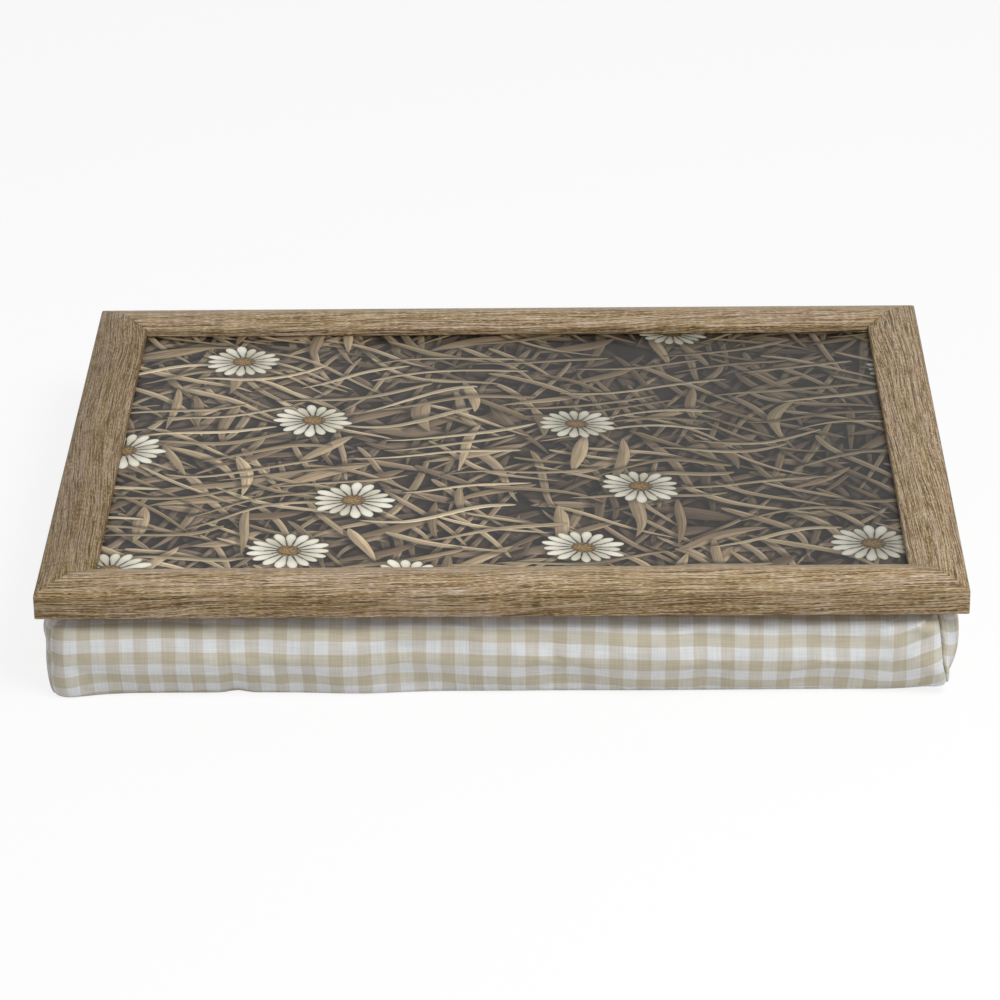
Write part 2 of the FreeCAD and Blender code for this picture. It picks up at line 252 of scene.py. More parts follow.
# %% Foil material
# Per-point value of painted shade: below one, it darkens the foil's colour where the lamp lights the
# rails less.
PAINTED_SHADE = "foil_painted_shade"
GRAIN_SLANT = math.radians(1.8)
SWAYS = (((120.0, 26.0), 8.0), ((26.0, 8.0), 1.0))
BANDS, STREAKS, FIBRES = range(3)
FIGURE_SIZES = ((130.0, 7.0), (60.0, 0.75), (14.0, 0.45), (2.4, 0.50))
FIGURE_SHARES = (0.06, 0.34, 0.37, 0.23)
FOIL_TONES = ((0.39, "#665230"), (0.5, "#a6906d"), (1.0, "#ffffff"))
WARM_BANDS = (0.40, 0.65)
WARMTH = 0.6
RINGS_WAVE = (260.0, 7.0)
RINGS_IN_WAVE = 9.0
RING_FOLD = 0.5
RING_EDGE = (0.11, 0.02)
RING_FADES = (0.62, 0.48)
PORES = (14.0, 0.90)
PORE_SHARE = 0.6
PORE_DEPTH = 0.7
FLECKS = (5.0, 0.90)
FLECK_SHARE = 0.5
FLECK_START = (0.31, 0.47, 0)
FLECK_STRENGTH = 0.5
INK = 0.72
# Extra saturation that comes with the painted shade, largest where the painted shade is deepest.
RICHER_IN_PAINTED_SHADE = 0.4
FIBRE_RELIEF = -0.8
FOIL_RELIEF = 0.2 * MM

oak_foil, tree = new_material("Oak foil, printed and embossed")
flat = uv_millimetres(tree)
grain = add(tree, "Mapping", {"Vector": flat, "Rotation": (0, 0, -GRAIN_SLANT)})[0]
for size, height in SWAYS:
    sway = add(tree, "MapRange", (streaky(tree, flat, size), 0, 1, -height / 2, height / 2))[0]
    sway = add(tree, "CombineXYZ", {"Y": sway})[0]
    grain = add(tree, "VectorMath", (grain, sway), operation="ADD")[0]
figure = [streaky(tree, grain, size) for size in FIGURE_SIZES]

ring = add(tree, "Math", (streaky(tree, grain, RINGS_WAVE), RINGS_IN_WAVE), operation="MULTIPLY")[0]
ring = add(tree, "Math", (ring, RING_FOLD), operation="PINGPONG")[0]
ring = add(tree, "MapRange", (ring, *RING_EDGE), interpolation_type="SMOOTHSTEP")[0]
faded = add(tree, "MapRange", (figure[STREAKS], *RING_FADES), interpolation_type="SMOOTHSTEP")[0]
ring = add(tree, "Math", (ring, faded), operation="MULTIPLY")[0]
pores = dashes(tree, grain, PORES, PORE_SHARE)
pores = add(tree, "Math", (pores, PORE_DEPTH), operation="MULTIPLY")[0]
pressed = add(tree, "Math", (ring, pores), operation="MAXIMUM")[0]
flecks = dashes(tree, grain, FLECKS, FLECK_SHARE, FLECK_START)

tone = 0.0
for layer, share in zip(figure, FIGURE_SHARES):
    tone = add(tree, "Math", (layer, share, tone), operation="MULTIPLY_ADD")[0]
printed = add(tree, "ValToRGB", (tone,))[0]
elements = printed.node.color_ramp.elements
elements.new(FOIL_TONES[1][0])
for element, (at, code) in zip(elements, FOIL_TONES):
    element.position = at
    element.color = linear(code)
warm = add(tree, "MapRange", (figure[BANDS], *WARM_BANDS))[0]
tint = add(tree, "Mix", {0: warm, 6: linear("#fff6e6"), 7: linear("#fff2f2")}, data_type="RGBA")[2]
printed = add(tree, "Mix", {0: WARMTH, 6: printed, 7: tint}, data_type="RGBA",
              blend_type="MULTIPLY")[2]
for marks, strength, code in ((flecks, FLECK_STRENGTH, "#e2d3b8"), (pressed, INK, "#3f2d19")):
    share = add(tree, "Math", (marks, strength), operation="MULTIPLY")[0]
    printed = add(tree, "Mix", {0: share, 6: printed, 7: linear(code)}, data_type="RGBA")[2]
# Painted shade: each point's value darkens the printed colour and raises its saturation.
painted_rail_shade = add(tree, "Attribute", attribute_name=PAINTED_SHADE)["Fac"]
richer = add(tree, "Math", (painted_rail_shade, -RICHER_IN_PAINTED_SHADE, 1 + RICHER_IN_PAINTED_SHADE),
             operation="MULTIPLY_ADD")[0]
printed = add(tree, "HueSaturation", {"Color": printed, "Saturation": richer, "Value": painted_rail_shade})[0]
relief = add(tree, "Math", (figure[FIBRES], FIBRE_RELIEF, pressed), operation="MULTIPLY_ADD")[0]
relief = add(tree, "Bump", {"Height": relief, "Strength": 0.6, "Distance": FOIL_RELIEF},
             invert=True)[0]
finish = add(tree, "BsdfPrincipled", {
    "Base Color": printed, "Roughness": 0.5, "Specular IOR Level": 0.22, "Normal": relief})[0]
add(tree, "OutputMaterial", (finish,))
print("Foil:", len(tree.nodes), "nodes")

# %% [markdown]
# ## Meshes from arrays
# Every new piece here is a surface worked out with numpy. Two functions turn arrays of points, faces
# and UVs into a mesh object.

# %% Mesh helpers
MERGE_DISTANCE = 1e-6


def grid_faces(rows, columns):
    """Quads of a grid of points that is stored row after row, as an array of point numbers."""
    number = np.arange(rows * columns).reshape(rows, columns)
    corners = (number[:-1, :-1], number[:-1, 1:], number[1:, 1:], number[1:, :-1])
    return np.stack(corners, axis=-1).reshape(-1, 4)


def new_piece(name, points, faces, uv, material, sharp_degrees, values):
    """A mesh object at the origin from points (n, 3), faces and a UV (n, 2) for each point.

    Values are named numbers for each point. Points that fall together are merged after the UVs are
    set, so a closed strip keeps its UV cut."""
    mesh = bpy.data.meshes.new(name)
    mesh.from_pydata(points.tolist(), [], faces)
    for label, numbers in values.items():
        attribute = mesh.attributes.new(label, "FLOAT", "POINT")
        attribute.data.foreach_set("value", numbers.astype(np.float32))
    layer = mesh.uv_layers.new(name=GRAIN)
    loop_points = np.empty(len(mesh.loops), dtype=np.int32)
    mesh.loops.foreach_get("vertex_index", loop_points)
    layer.data.foreach_set("uv", np.ascontiguousarray(uv[loop_points], dtype=np.float32).ravel())
    edit = bmesh.new()
    edit.from_mesh(mesh)
    bmesh.ops.remove_doubles(edit, verts=edit.verts, dist=MERGE_DISTANCE)
    bmesh.ops.recalc_face_normals(edit, faces=edit.faces)
    edit.to_mesh(mesh)
    edit.free()
    mesh.shade_smooth()
    mesh.set_sharp_from_angle(angle=math.radians(sharp_degrees))
    mesh.materials.append(material)
    print(f"{name}: {len(mesh.vertices)} points, {len(mesh.polygons)} faces")
    return placed(name, mesh)


# %% [markdown]
# ## The four rails
# Each rail is one length of moulding: a thin upright outer side, a low crowned top and a lip over the
# rebate that holds the print. The section is three round edges joined by the straight lines that touch
# them, carried along the rail and cut to 45 degrees at both ends. A hair-thin groove is left at each
# mitre, because foil never meets quite edge to edge there.

# %% Moulding section
rail_low, rail_high = (np.array(corner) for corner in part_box("front_rail"))
RAIL_WIDTH = rail_high[1] - rail_low[1]
TRAY_HALF = np.array([rail_high[0], -rail_low[1]])
UNDERSIDE = rail_low[2]
CREST_HEIGHT = rail_high[2] - rail_low[2]
SIDE_HEIGHT = 11.4 * MM
EDGE_ROUND = 1.8 * MM
CREST_INSET = 13.6 * MM
CREST_ROUND = 14 * MM
LIP_HEIGHT = 13.2 * MM
LIP_ROUND = 1.2 * MM
LIP_FOOT = 0.9 * MM
REBATE_WIDTH = 6 * MM
REBATE_DEPTH = 8.2 * MM
FOOT_ROUND = 0.5 * MM
STEEL_PROUD = 0.05 * MM
ARC_STEPS = 9
SMALL_ARC_STEPS = 4


def touching_angle(first, first_radius, second, second_radius):
    """Angle of the upper common tangent's normal: the line between centres, turned by a quarter and
    by the angle whose sine is the difference of the radii over the distance."""
    gap = second - first
    lean = math.asin((first_radius - second_radius) / np.hypot(*gap))
    return math.atan2(gap[1], gap[0]) + math.pi / 2 - lean


def arc(centre, radius, start, stop, steps=ARC_STEPS):
    """Points at even angles from start to stop on a circle."""
    angle = np.linspace(start, stop, steps)
    return centre + radius * np.stack([np.cos(angle), np.sin(angle)], axis=1)


def moulding_section():
    """Closed outline of the moulding as (inset from the outer side, height), outer foot first.

    Rounded foot, upright side, edge arc, crest arc and lip arc with tangent lines between them, then
    the inner wall, the rebate's ceiling and wall, and the underside back to the foot."""
    foot = np.array([FOOT_ROUND, STEEL_PROUD + FOOT_ROUND])
    edge = np.array([EDGE_ROUND, SIDE_HEIGHT])
    crest = np.array([CREST_INSET, CREST_HEIGHT - CREST_ROUND])
    lip = np.array([RAIL_WIDTH - LIP_ROUND, LIP_HEIGHT - LIP_ROUND])
    lip_foot = np.array([RAIL_WIDTH - LIP_FOOT, REBATE_DEPTH + LIP_FOOT])
    outer = touching_angle(edge, EDGE_ROUND, crest, CREST_ROUND)
    inner = touching_angle(crest, CREST_ROUND, lip, LIP_ROUND)
    wall = RAIL_WIDTH - REBATE_WIDTH
    return np.concatenate([
        arc(foot, FOOT_ROUND, 1.5 * math.pi, math.pi, SMALL_ARC_STEPS),
        arc(edge, EDGE_ROUND, math.pi, outer),
        arc(crest, CREST_ROUND, outer, inner),
        arc(lip, LIP_ROUND, inner, 0.0),
        arc(lip_foot, LIP_FOOT, 0.0, -math.pi / 2, SMALL_ARC_STEPS),
        [[wall, REBATE_DEPTH], [wall, STEEL_PROUD]],
    ])


section = moulding_section()
print("Section:", len(section), "points,", np.round(np.ptp(section, axis=0) / MM, 2), "mm")

# %% Rails along the four sides
GROOVE_DEPTH = 0.14 * MM
GROOVE_WIDTH = 0.35 * MM
RING_STEP = 12 * MM
GRAIN_START = 0.7
GRAIN_START_ACROSS = 0.1
RAIL_SHARP = 35
# Painted shade for each rail: the side rails, whose grain runs towards the camera and catches less
# light, are darker, and the left one, turned away from the lamp, is darkest.
RAIL_PAINTED_SHADES = {"front_rail": 1.0, "right_rail": 0.86, "back_rail": 0.98, "left_rail": 0.645}
# Painted shade on the upright outer side of every rail, which the high lamp lights less than the top.
SIDE_PAINTED_SHADE = 0.79


def inward_normals(outline):
    """Unit normals of a closed outline that runs clockwise, pointing into it: the direction between
    the neighbours of a point, turned by a quarter."""
    along = np.roll(outline, -1, axis=0) - np.roll(outline, 1, axis=0)
    along /= np.linalg.norm(along, axis=1, keepdims=True)
    return np.stack([along[:, 1], -along[:, 0]], axis=1)


def mitred_rail(half_length, half_across, turn):
    """A rail as points, faces, UVs and the share of painted shade on its upright outer side: x = place
    along the rail, y = inset - half_across, then a turn by quarters about the upright axis. The ends
    are cut where the distance from the corner equals the inset, and the outline sinks by the groove
    depth there."""
    rings = int(2 * half_length / RING_STEP)
    near = np.array([0.0, GROOVE_WIDTH / half_length])
    share = np.concatenate([near, np.linspace(0, 2, rings)[1:-1], 2 - near[::-1]]) - 1
    sink = np.where(np.abs(share) == 1, GROOVE_DEPTH, 0.0)
    outline = section[None] + sink[:, None, None] * inward_normals(section)[None]
    outline = np.concatenate([outline, outline[:, :1]], axis=1)
    x = share[:, None] * (half_length - outline[:, :, 0])
    y = outline[:, :, 0] - half_across
    z = outline[:, :, 1] + UNDERSIDE
    quarter = [(x, y), (-y, x), (-x, -y), (y, -x)][turn]
    points = np.stack([*quarter, z], axis=-1).reshape(-1, 3)
    around = np.concatenate([[0.0], np.cumsum(np.hypot(*np.diff(outline[1], axis=0).T))])
    around = np.broadcast_to(around, x.shape)
    uv = np.stack([x + GRAIN_START * turn, around + GRAIN_START_ACROSS * turn], axis=-1)
    columns = len(section) + 1
    faces = grid_faces(len(share), columns).tolist()
    faces.append(list(range(columns - 1)))
    faces.append(list(range((len(share) - 1) * columns, len(share) * columns - 1)))
    # Share of the upright outer side at each point, where the painted shade is deepened.
    upright = np.clip(1 - outline[:, :, 0] / EDGE_ROUND, 0, 1)
    return points, faces, uv.reshape(-1, 2), upright.ravel()


# Each rail's painted shade value is carried in tone.
for turn, (node, tone) in enumerate(RAIL_PAINTED_SHADES.items()):
    half_length, half_across = TRAY_HALF if turn % 2 == 0 else TRAY_HALF[::-1]
    points, faces, uv, upright = mitred_rail(half_length, half_across, turn)
    painted_shades = tone * (1 - (1 - SIDE_PAINTED_SHADE) * upright)
    rail = new_piece("foil_wrapped_" + node, points, faces, uv, oak_foil, RAIL_SHARP, {PAINTED_SHADE: painted_shades})
    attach(rail, "tray")
    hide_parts(node)

# %% [markdown]
# ## The printed sheet
# The tray's inside is a sheet of printed paper under a satin laminate: a picture of dry leaves, grass
# and daisies lying over each other, from almost black brown up to straw and cream. It could be painted
# by hand, but here it is grown from a rule. The sheet is divided into cells, and each cell holds one
# leaf whose length, lean, bend and tone come from random numbers for that cell. Thirteen such layers
# at different angles, each with a soft shadow on what is below it, make a deep litter of leaves. A
# layer is a node group that takes the picture below and gives it with its own leaves on top.

# %% What all layers share
RIDE_UP = 1.2
SHADOW_DEPTH = 0.62
BLACK = (0.0, 0.0, 0.0, 1.0)
CELL_MIDDLE = 0.5


def new_layer(name, inputs):
    """An empty node group for one layer of the picture, with inputs given by name and kind."""
    group = bpy.data.node_groups.new(name, "ShaderNodeTree")
    for label, kind in inputs.items():
        group.interface.new_socket(label, in_out="INPUT", socket_type="NodeSocket" + kind)
    group.interface.new_socket("Picture", in_out="OUTPUT", socket_type="NodeSocketColor")
    return group, add(group, "NodeGroupInput")


def scattered(tree, given, start):
    """Place on a layer, and the layer's own start. The place is shifted where what is below is
    bright, as if it lay higher there, turned by the layer's angle and moved by the own start."""
    height = add(tree, "RGBToBW", (given["Below"],))[0]
    height = add(tree, "Math", (height, RIDE_UP), operation="MULTIPLY")[0]
    shift = add(tree, "CombineXYZ", {"Y": height})[0]
    ridden = add(tree, "VectorMath", (given["Place"], shift), operation="ADD")[0]
    turned = add(tree, "VectorRotate", {"Vector": ridden, "Angle": given["Angle"]},
                 rotation_type="Z_AXIS")[0]
    own_start = add(tree, "VectorMath", {"Vector": start, "Scale": given["Seed"]}, operation="SCALE")[0]
    return add(tree, "VectorMath", (turned, own_start), operation="ADD")[0], own_start


def random_numbers(tree, name):
    """Four random numbers for a cell's name: one alone, and three as Red, Green and Blue."""
    made = add(tree, "TexWhiteNoise", {"Vector": name}, noise_dimensions="3D")
    return made["Value"], add(tree, "SeparateColor", (made["Color"],))


def lay_over(tree, given, grown, mask, cast, colour):
    """Ends a layer: its shadow and then its colour over what is below, in the cells that are
    filled."""
    mask = add(tree, "Math", (mask, grown), operation="MULTIPLY")[0]
    cast = add(tree, "Math", (cast, grown), operation="MULTIPLY")[0]
    cast = add(tree, "Math", (cast, SHADOW_DEPTH), operation="MULTIPLY")[0]
    picture = given["Below"]
    for share, over in ((cast, BLACK), (mask, colour)):
        picture = add(tree, "Mix", {0: share, 6: picture, 7: over}, data_type="RGBA")[2]
    add(tree, "NodeGroupOutput", {"Picture": picture})


# %% [markdown]
# ## Leaves
# A leaf is measured along and across its own bent midrib. Its half width is a curve that falls from
# the middle to both ends and is wider at one of them. Whatever lies nearer to the midrib than that is
# leaf. One half is lit and the other in shade, the rib is a dark line, and veins run along.

# %% Cells of one layer of leaves
LEAF_START = (37.3, 91.7, 0.0)
SECOND_NAME = (17.0, 31.0, 5.0)
BEND = 16.0
BEND_LENGTH = 75.0

leaf_layer, given = new_layer("Leaf layer", {
    "Place": "Vector", "Below": "Color", "Angle": "Float", "Seed": "Float", "Cell": "Vector",
    "Length": "Float", "Width": "Float", "Taper": "Float", "Lean": "Float", "Share": "Float",
    "Edge": "Float", "Dark": "Color", "Light": "Color"})
tree = leaf_layer
turned = scattered(tree, given, LEAF_START)[0]
bend = add(tree, "TexNoise", {"Vector": turned, "Scale": 1 / BEND_LENGTH, "Detail": 0.0},
           noise_dimensions="2D")[0]
bend = add(tree, "MapRange", (bend, 0, 1, -BEND, BEND))[0]
bend = add(tree, "CombineXYZ", {"Y": bend})[0]
bent = add(tree, "VectorMath", (bend, turned), operation="ADD")[0]
cells = add(tree, "VectorMath", (bent, given["Cell"]), operation="DIVIDE")[0]
cells = add(tree, "SeparateXYZ", (cells,))
row = add(tree, "Math", (cells["Y"],), operation="FLOOR")[0]
row_name = add(tree, "Math", (row, given["Seed"]), operation="ADD")[0]
row_shift = add(tree, "TexWhiteNoise", {"W": row_name}, noise_dimensions="1D")["Value"]
column_place = add(tree, "Math", (cells["X"], row_shift), operation="ADD")[0]
column = add(tree, "Math", (column_place,), operation="FLOOR")[0]
cell_name = add(tree, "CombineXYZ", (column, row, given["Seed"]))[0]
first, first_three = random_numbers(tree, cell_name)
second_name = add(tree, "VectorMath", (cell_name, SECOND_NAME), operation="ADD")[0]
second, second_three = random_numbers(tree, second_name)
grown = add(tree, "Math", (second_three["Red"], given["Share"]), operation="LESS_THAN")[0]
print("Cells of leaves:", len(tree.nodes), "nodes")

# %% Leaf in a cell
STRAY = (-0.64, -0.36)
CURL = 0.004
HALF_LENGTH = (0.31, 0.5)
HALF_WIDTH = (0.66, 0.34)

size = add(tree, "SeparateXYZ", (given["Cell"],))
along = add(tree, "Math", (column_place,), operation="FRACT")[0]
along = add(tree, "Math", (along, CELL_MIDDLE), operation="SUBTRACT")[0]
along = add(tree, "Math", (along, size["X"]), operation="MULTIPLY")[0]
stray = add(tree, "MapRange", (first_three["Blue"], 0, 1, *STRAY))[0]
across = add(tree, "Math", (cells["Y"],), operation="FRACT")[0]
across = add(tree, "Math", (across, stray), operation="ADD")[0]
across = add(tree, "Math", (across, size["Y"]), operation="MULTIPLY")[0]
lean = add(tree, "MapRange", (first_three["Red"], 0, 1, -1, 1))[0]
lean = add(tree, "Math", (lean, given["Lean"]), operation="MULTIPLY")[0]
across = add(tree, "Math", (along, lean, across), operation="MULTIPLY_ADD")[0]
curl = add(tree, "MapRange", (first_three["Green"], 0, 1, -CURL, CURL))[0]
curl = add(tree, "Math", (curl, along), operation="MULTIPLY")[0]
across = add(tree, "Math", (curl, along, across), operation="MULTIPLY_ADD")[0]
off_axis = add(tree, "Math", (across,), operation="ABSOLUTE")[0]

length = add(tree, "MapRange", (first, 0, 1, *HALF_LENGTH))[0]
length = add(tree, "Math", (length, given["Length"]), operation="MULTIPLY")[0]
share = add(tree, "Math", (along, length), operation="DIVIDE")[0]
body = add(tree, "Math", (share, share), operation="MULTIPLY")[0]
body = add(tree, "MapRange", (body, 0, 1, 1, 0))[0]
body = add(tree, "Math", (body, given["Taper"]), operation="POWER")[0]
half = add(tree, "MapRange", (share, -1, 1, *HALF_WIDTH))[0]
for factor in (body, given["Width"]):
    half = add(tree, "Math", (half, factor), operation="MULTIPLY")[0]
inside = add(tree, "Math", (half, off_axis), operation="SUBTRACT")[0]
mask = add(tree, "MapRange", (inside, 0, given["Edge"]), interpolation_type="SMOOTHSTEP")[0]
print("With the leaf's outline:", len(tree.nodes), "nodes")

# %% Light and shade on a leaf
SHADOW_SHIFT = 1.4
SHADOW_EDGE = (-3.0, 0.6)
SHADOW_FROM_TIP = 0.25
FOLD_SIDES = (-0.35, 0.35)
FOLD_TONES = (0.62, 1.15)
RIB_EDGE = (0.1, 0.55)
RIB_TONE = 0.78
VEIN_SCALE = (1 / 16, 1 / 0.9, 40.0)
VEIN_RANGE = (0.3, 0.7)
VEIN_TONES = (0.68, 1.2)

off_shadow = add(tree, "Math", (across, SHADOW_SHIFT), operation="ADD")[0]
off_shadow = add(tree, "Math", (off_shadow,), operation="ABSOLUTE")[0]
cast = add(tree, "Math", (half, off_shadow), operation="SUBTRACT")[0]
cast = add(tree, "MapRange", (cast, *SHADOW_EDGE), interpolation_type="SMOOTHSTEP")[0]
tip = add(tree, "MapRange", (body, 0, SHADOW_FROM_TIP))[0]
cast = add(tree, "Math", (cast, tip), operation="MULTIPLY")[0]
shade = add(tree, "Math", (across, given["Width"]), operation="DIVIDE")[0]
shade = add(tree, "MapRange", (shade, *FOLD_SIDES, *FOLD_TONES))[0]
rib = add(tree, "MapRange", (off_axis, *RIB_EDGE, RIB_TONE), interpolation_type="SMOOTHSTEP")[0]
veins = add(tree, "CombineXYZ", (along, across, second))[0]
veins = add(tree, "VectorMath", (veins, VEIN_SCALE), operation="MULTIPLY")[0]
veins = add(tree, "TexNoise", {"Vector": veins, "Scale": 1.0, "Detail": 2.0})[0]
veins = add(tree, "MapRange", (veins, *VEIN_RANGE, *VEIN_TONES))[0]
for factor in (rib, veins):
    shade = add(tree, "Math", (shade, factor), operation="MULTIPLY")[0]
tint = add(tree, "Mix", {0: second_three["Green"], 6: given["Dark"], 7: given["Light"]},
           data_type="RGBA")[2]
leaf = add(tree, "HueSaturation", {"Color": tint, "Value": shade})[0]
lay_over(tree, given, grown, mask, cast, leaf)
print("Leaf layer:", len(tree.nodes), "nodes")

# %% [markdown]
# ## Daisies
# A daisy is drawn in polar coordinates about its middle: the angle is cut into petals, and a petal is
# as wide as a rounded tongue is at that distance out. A domed, stippled disc covers the middle. Square
# cells place the flowers: some of the cells hold one, each a little off its cell's middle. Distances
# out are shares of the flower's radius, and distances across a petal are shares of its angle.

# %% Cells of one layer of daisies
DAISY_START = (23.1, 57.7, 0.0)
MIDDLE_SPREAD = (-0.24, -0.24, 0.0)
MIDDLE_FROM = (-0.38, -0.38, 0.0)
MOST_TIPPED = 1.35
TURN_SPREAD = 6.0

daisy_layer, given = new_layer("Daisy layer", {
    "Place": "Vector", "Below": "Color", "Angle": "Float", "Seed": "Float", "Cell": "Float",
    "Radius": "Float", "Share": "Float"})
tree = daisy_layer
turned, own_start = scattered(tree, given, DAISY_START)
cells = add(tree, "Math", (1.0, given["Cell"]), operation="DIVIDE")[0]
cells = add(tree, "VectorMath", {"Vector": turned, "Scale": cells}, operation="SCALE")[0]
cell_name = add(tree, "VectorMath", (cells,), operation="FLOOR")[0]
cell_name = add(tree, "VectorMath", (cell_name, own_start), operation="ADD")[0]
chosen, own = random_numbers(tree, cell_name)
grown = add(tree, "Math", (chosen, given["Share"]), operation="LESS_THAN")[0]
stray = add(tree, "CombineXYZ", (own["Red"], own["Green"]))[0]
stray = add(tree, "VectorMath", (stray, MIDDLE_SPREAD, MIDDLE_FROM), operation="MULTIPLY_ADD")[0]
inside = add(tree, "VectorMath", (cells,), operation="FRACTION")[0]
inside = add(tree, "VectorMath", (inside, stray), operation="ADD")[0]
inside = add(tree, "VectorMath", {"Vector": inside, "Scale": given["Cell"]}, operation="SCALE")[0]
tipped = add(tree, "MapRange", (own["Blue"], 0, 1, 1, MOST_TIPPED))[0]
tipped = add(tree, "CombineXYZ", (1.0, tipped))[0]
inside = add(tree, "VectorMath", (inside, tipped), operation="MULTIPLY")[0]
sides = add(tree, "SeparateXYZ", (inside,))
reach = add(tree, "VectorMath", (inside,), operation="LENGTH")["Value"]
reach = add(tree, "Math", (reach, given["Radius"]), operation="DIVIDE")[0]
angle = add(tree, "Math", (sides["Y"], sides["X"]), operation="ARCTAN2")[0]
angle = add(tree, "Math", (own["Red"], TURN_SPREAD, angle), operation="MULTIPLY_ADD")[0]
print("Cells of daisies:", len(tree.nodes), "nodes")

# %% Petals and disc
PETALS = 17
SHORTEST_PETAL = 0.82
TIP_FROM = 0.66
PETAL_GROWS = (0.2, 0.7)
PETAL_WIDTHS = (0.30, 0.50)
PETAL_EDGE = 0.08
DISC_EDGE = (0.31, 0.27)
DAISY_SHADOW = (1.22, 0.7)

petal_place = add(tree, "Math", (angle, PETALS / (2 * math.pi)), operation="MULTIPLY")[0]
petal = add(tree, "Math", (petal_place,), operation="FLOOR")[0]
petal = add(tree, "Math", (petal, PETALS), operation="FLOORED_MODULO")[0]
petal_name = add(tree, "CombineXYZ", (petal, own["Green"], given["Seed"]))[0]
petal_own = random_numbers(tree, petal_name)[0]
petal_across = add(tree, "Math", (petal_place,), operation="FRACT")[0]
petal_across = add(tree, "Math", (petal_across, CELL_MIDDLE), operation="SUBTRACT")[0]
petal_length = add(tree, "MapRange", (petal_own, 0, 1, SHORTEST_PETAL))[0]
petal_share = add(tree, "Math", (reach, petal_length), operation="DIVIDE")[0]
tip = add(tree, "MapRange", (petal_share, TIP_FROM))[0]
tip = add(tree, "Math", (tip, tip), operation="MULTIPLY")[0]
tip = add(tree, "MapRange", (tip, 0, 1, 1, 0))[0]
tip = add(tree, "Math", (tip,), operation="SQRT")[0]
tongue = add(tree, "MapRange", (petal_share, *PETAL_GROWS, *PETAL_WIDTHS))[0]
tongue = add(tree, "Math", (tip, tongue), operation="MULTIPLY")[0]
petal_off = add(tree, "Math", (petal_across,), operation="ABSOLUTE")[0]
petal_inside = add(tree, "Math", (tongue, petal_off), operation="SUBTRACT")[0]
petal_mask = add(tree, "MapRange", (petal_inside, 0, PETAL_EDGE), interpolation_type="SMOOTHSTEP")[0]
disc_mask = add(tree, "MapRange", (reach, *DISC_EDGE), interpolation_type="SMOOTHSTEP")[0]
mask = add(tree, "Math", (petal_mask, disc_mask), operation="MAXIMUM")[0]
cast = add(tree, "MapRange", (reach, *DAISY_SHADOW), interpolation_type="SMOOTHSTEP")[0]
print("With the daisy's outline:", len(tree.nodes), "nodes")

# %% Light and shade on a daisy
PETAL_ROUND = 0.28
PETAL_EDGE_TONE = 0.70
PETAL_ROOT = (0.28, 0.75)
PETAL_ROOT_TONE = 0.55
PETAL_GROOVES = 34.0
GROOVE_TONES = (0.93, 1.02)
DISC_DOME = (0.05, 0.31)
DISC_EDGE_TONE = 0.45
STIPPLE = 1.3
STIPPLE_EDGE = (0.1, 0.75)

shade = add(tree, "MapRange", (petal_inside, 0, PETAL_ROUND, PETAL_EDGE_TONE))[0]
depth = add(tree, "MapRange", (reach, *PETAL_ROOT, PETAL_ROOT_TONE))[0]
groove = add(tree, "Math", (petal_across, PETAL_GROOVES), operation="MULTIPLY")[0]
groove = add(tree, "Math", (groove,), operation="COSINE")[0]
groove = add(tree, "MapRange", (groove, -1, 1, *GROOVE_TONES))[0]
for factor in (depth, groove):
    shade = add(tree, "Math", (shade, factor), operation="MULTIPLY")[0]
petals = add(tree, "Mix", {0: petal_own, 6: linear("#cdc8ae"), 7: linear("#e9e4d2")},
             data_type="RGBA")[2]
petals = add(tree, "HueSaturation", {"Color": petals, "Value": shade})[0]
stipple = add(tree, "TexVoronoi", {"Vector": inside, "Scale": 1 / STIPPLE},
              voronoi_dimensions="2D")["Distance"]
stipple = add(tree, "MapRange", (stipple, *STIPPLE_EDGE))[0]
disc = add(tree, "Mix", {0: stipple, 6: linear("#a8843f"), 7: linear("#4a3319")}, data_type="RGBA")[2]
dome = add(tree, "MapRange", (reach, *DISC_DOME, 1, DISC_EDGE_TONE))[0]
disc = add(tree, "HueSaturation", {"Color": disc, "Value": dome})[0]
flower = add(tree, "Mix", {0: disc_mask, 6: petals, 7: disc}, data_type="RGBA")[2]
lay_over(tree, given, grown, mask, cast, flower)
print("Daisy layer:", len(tree.nodes), "nodes")

# %% [markdown]
# ## The sheet's layers
# Each row below is one layer, from the ground up: its angle, the leaf's length, width and taper, how
# far it may lean, how many cells are filled, how sharp it is, and its darkest and lightest tones.
# Broad dim leaves lie deep, bright narrow ones on top. The right side of the picture lies in shade.

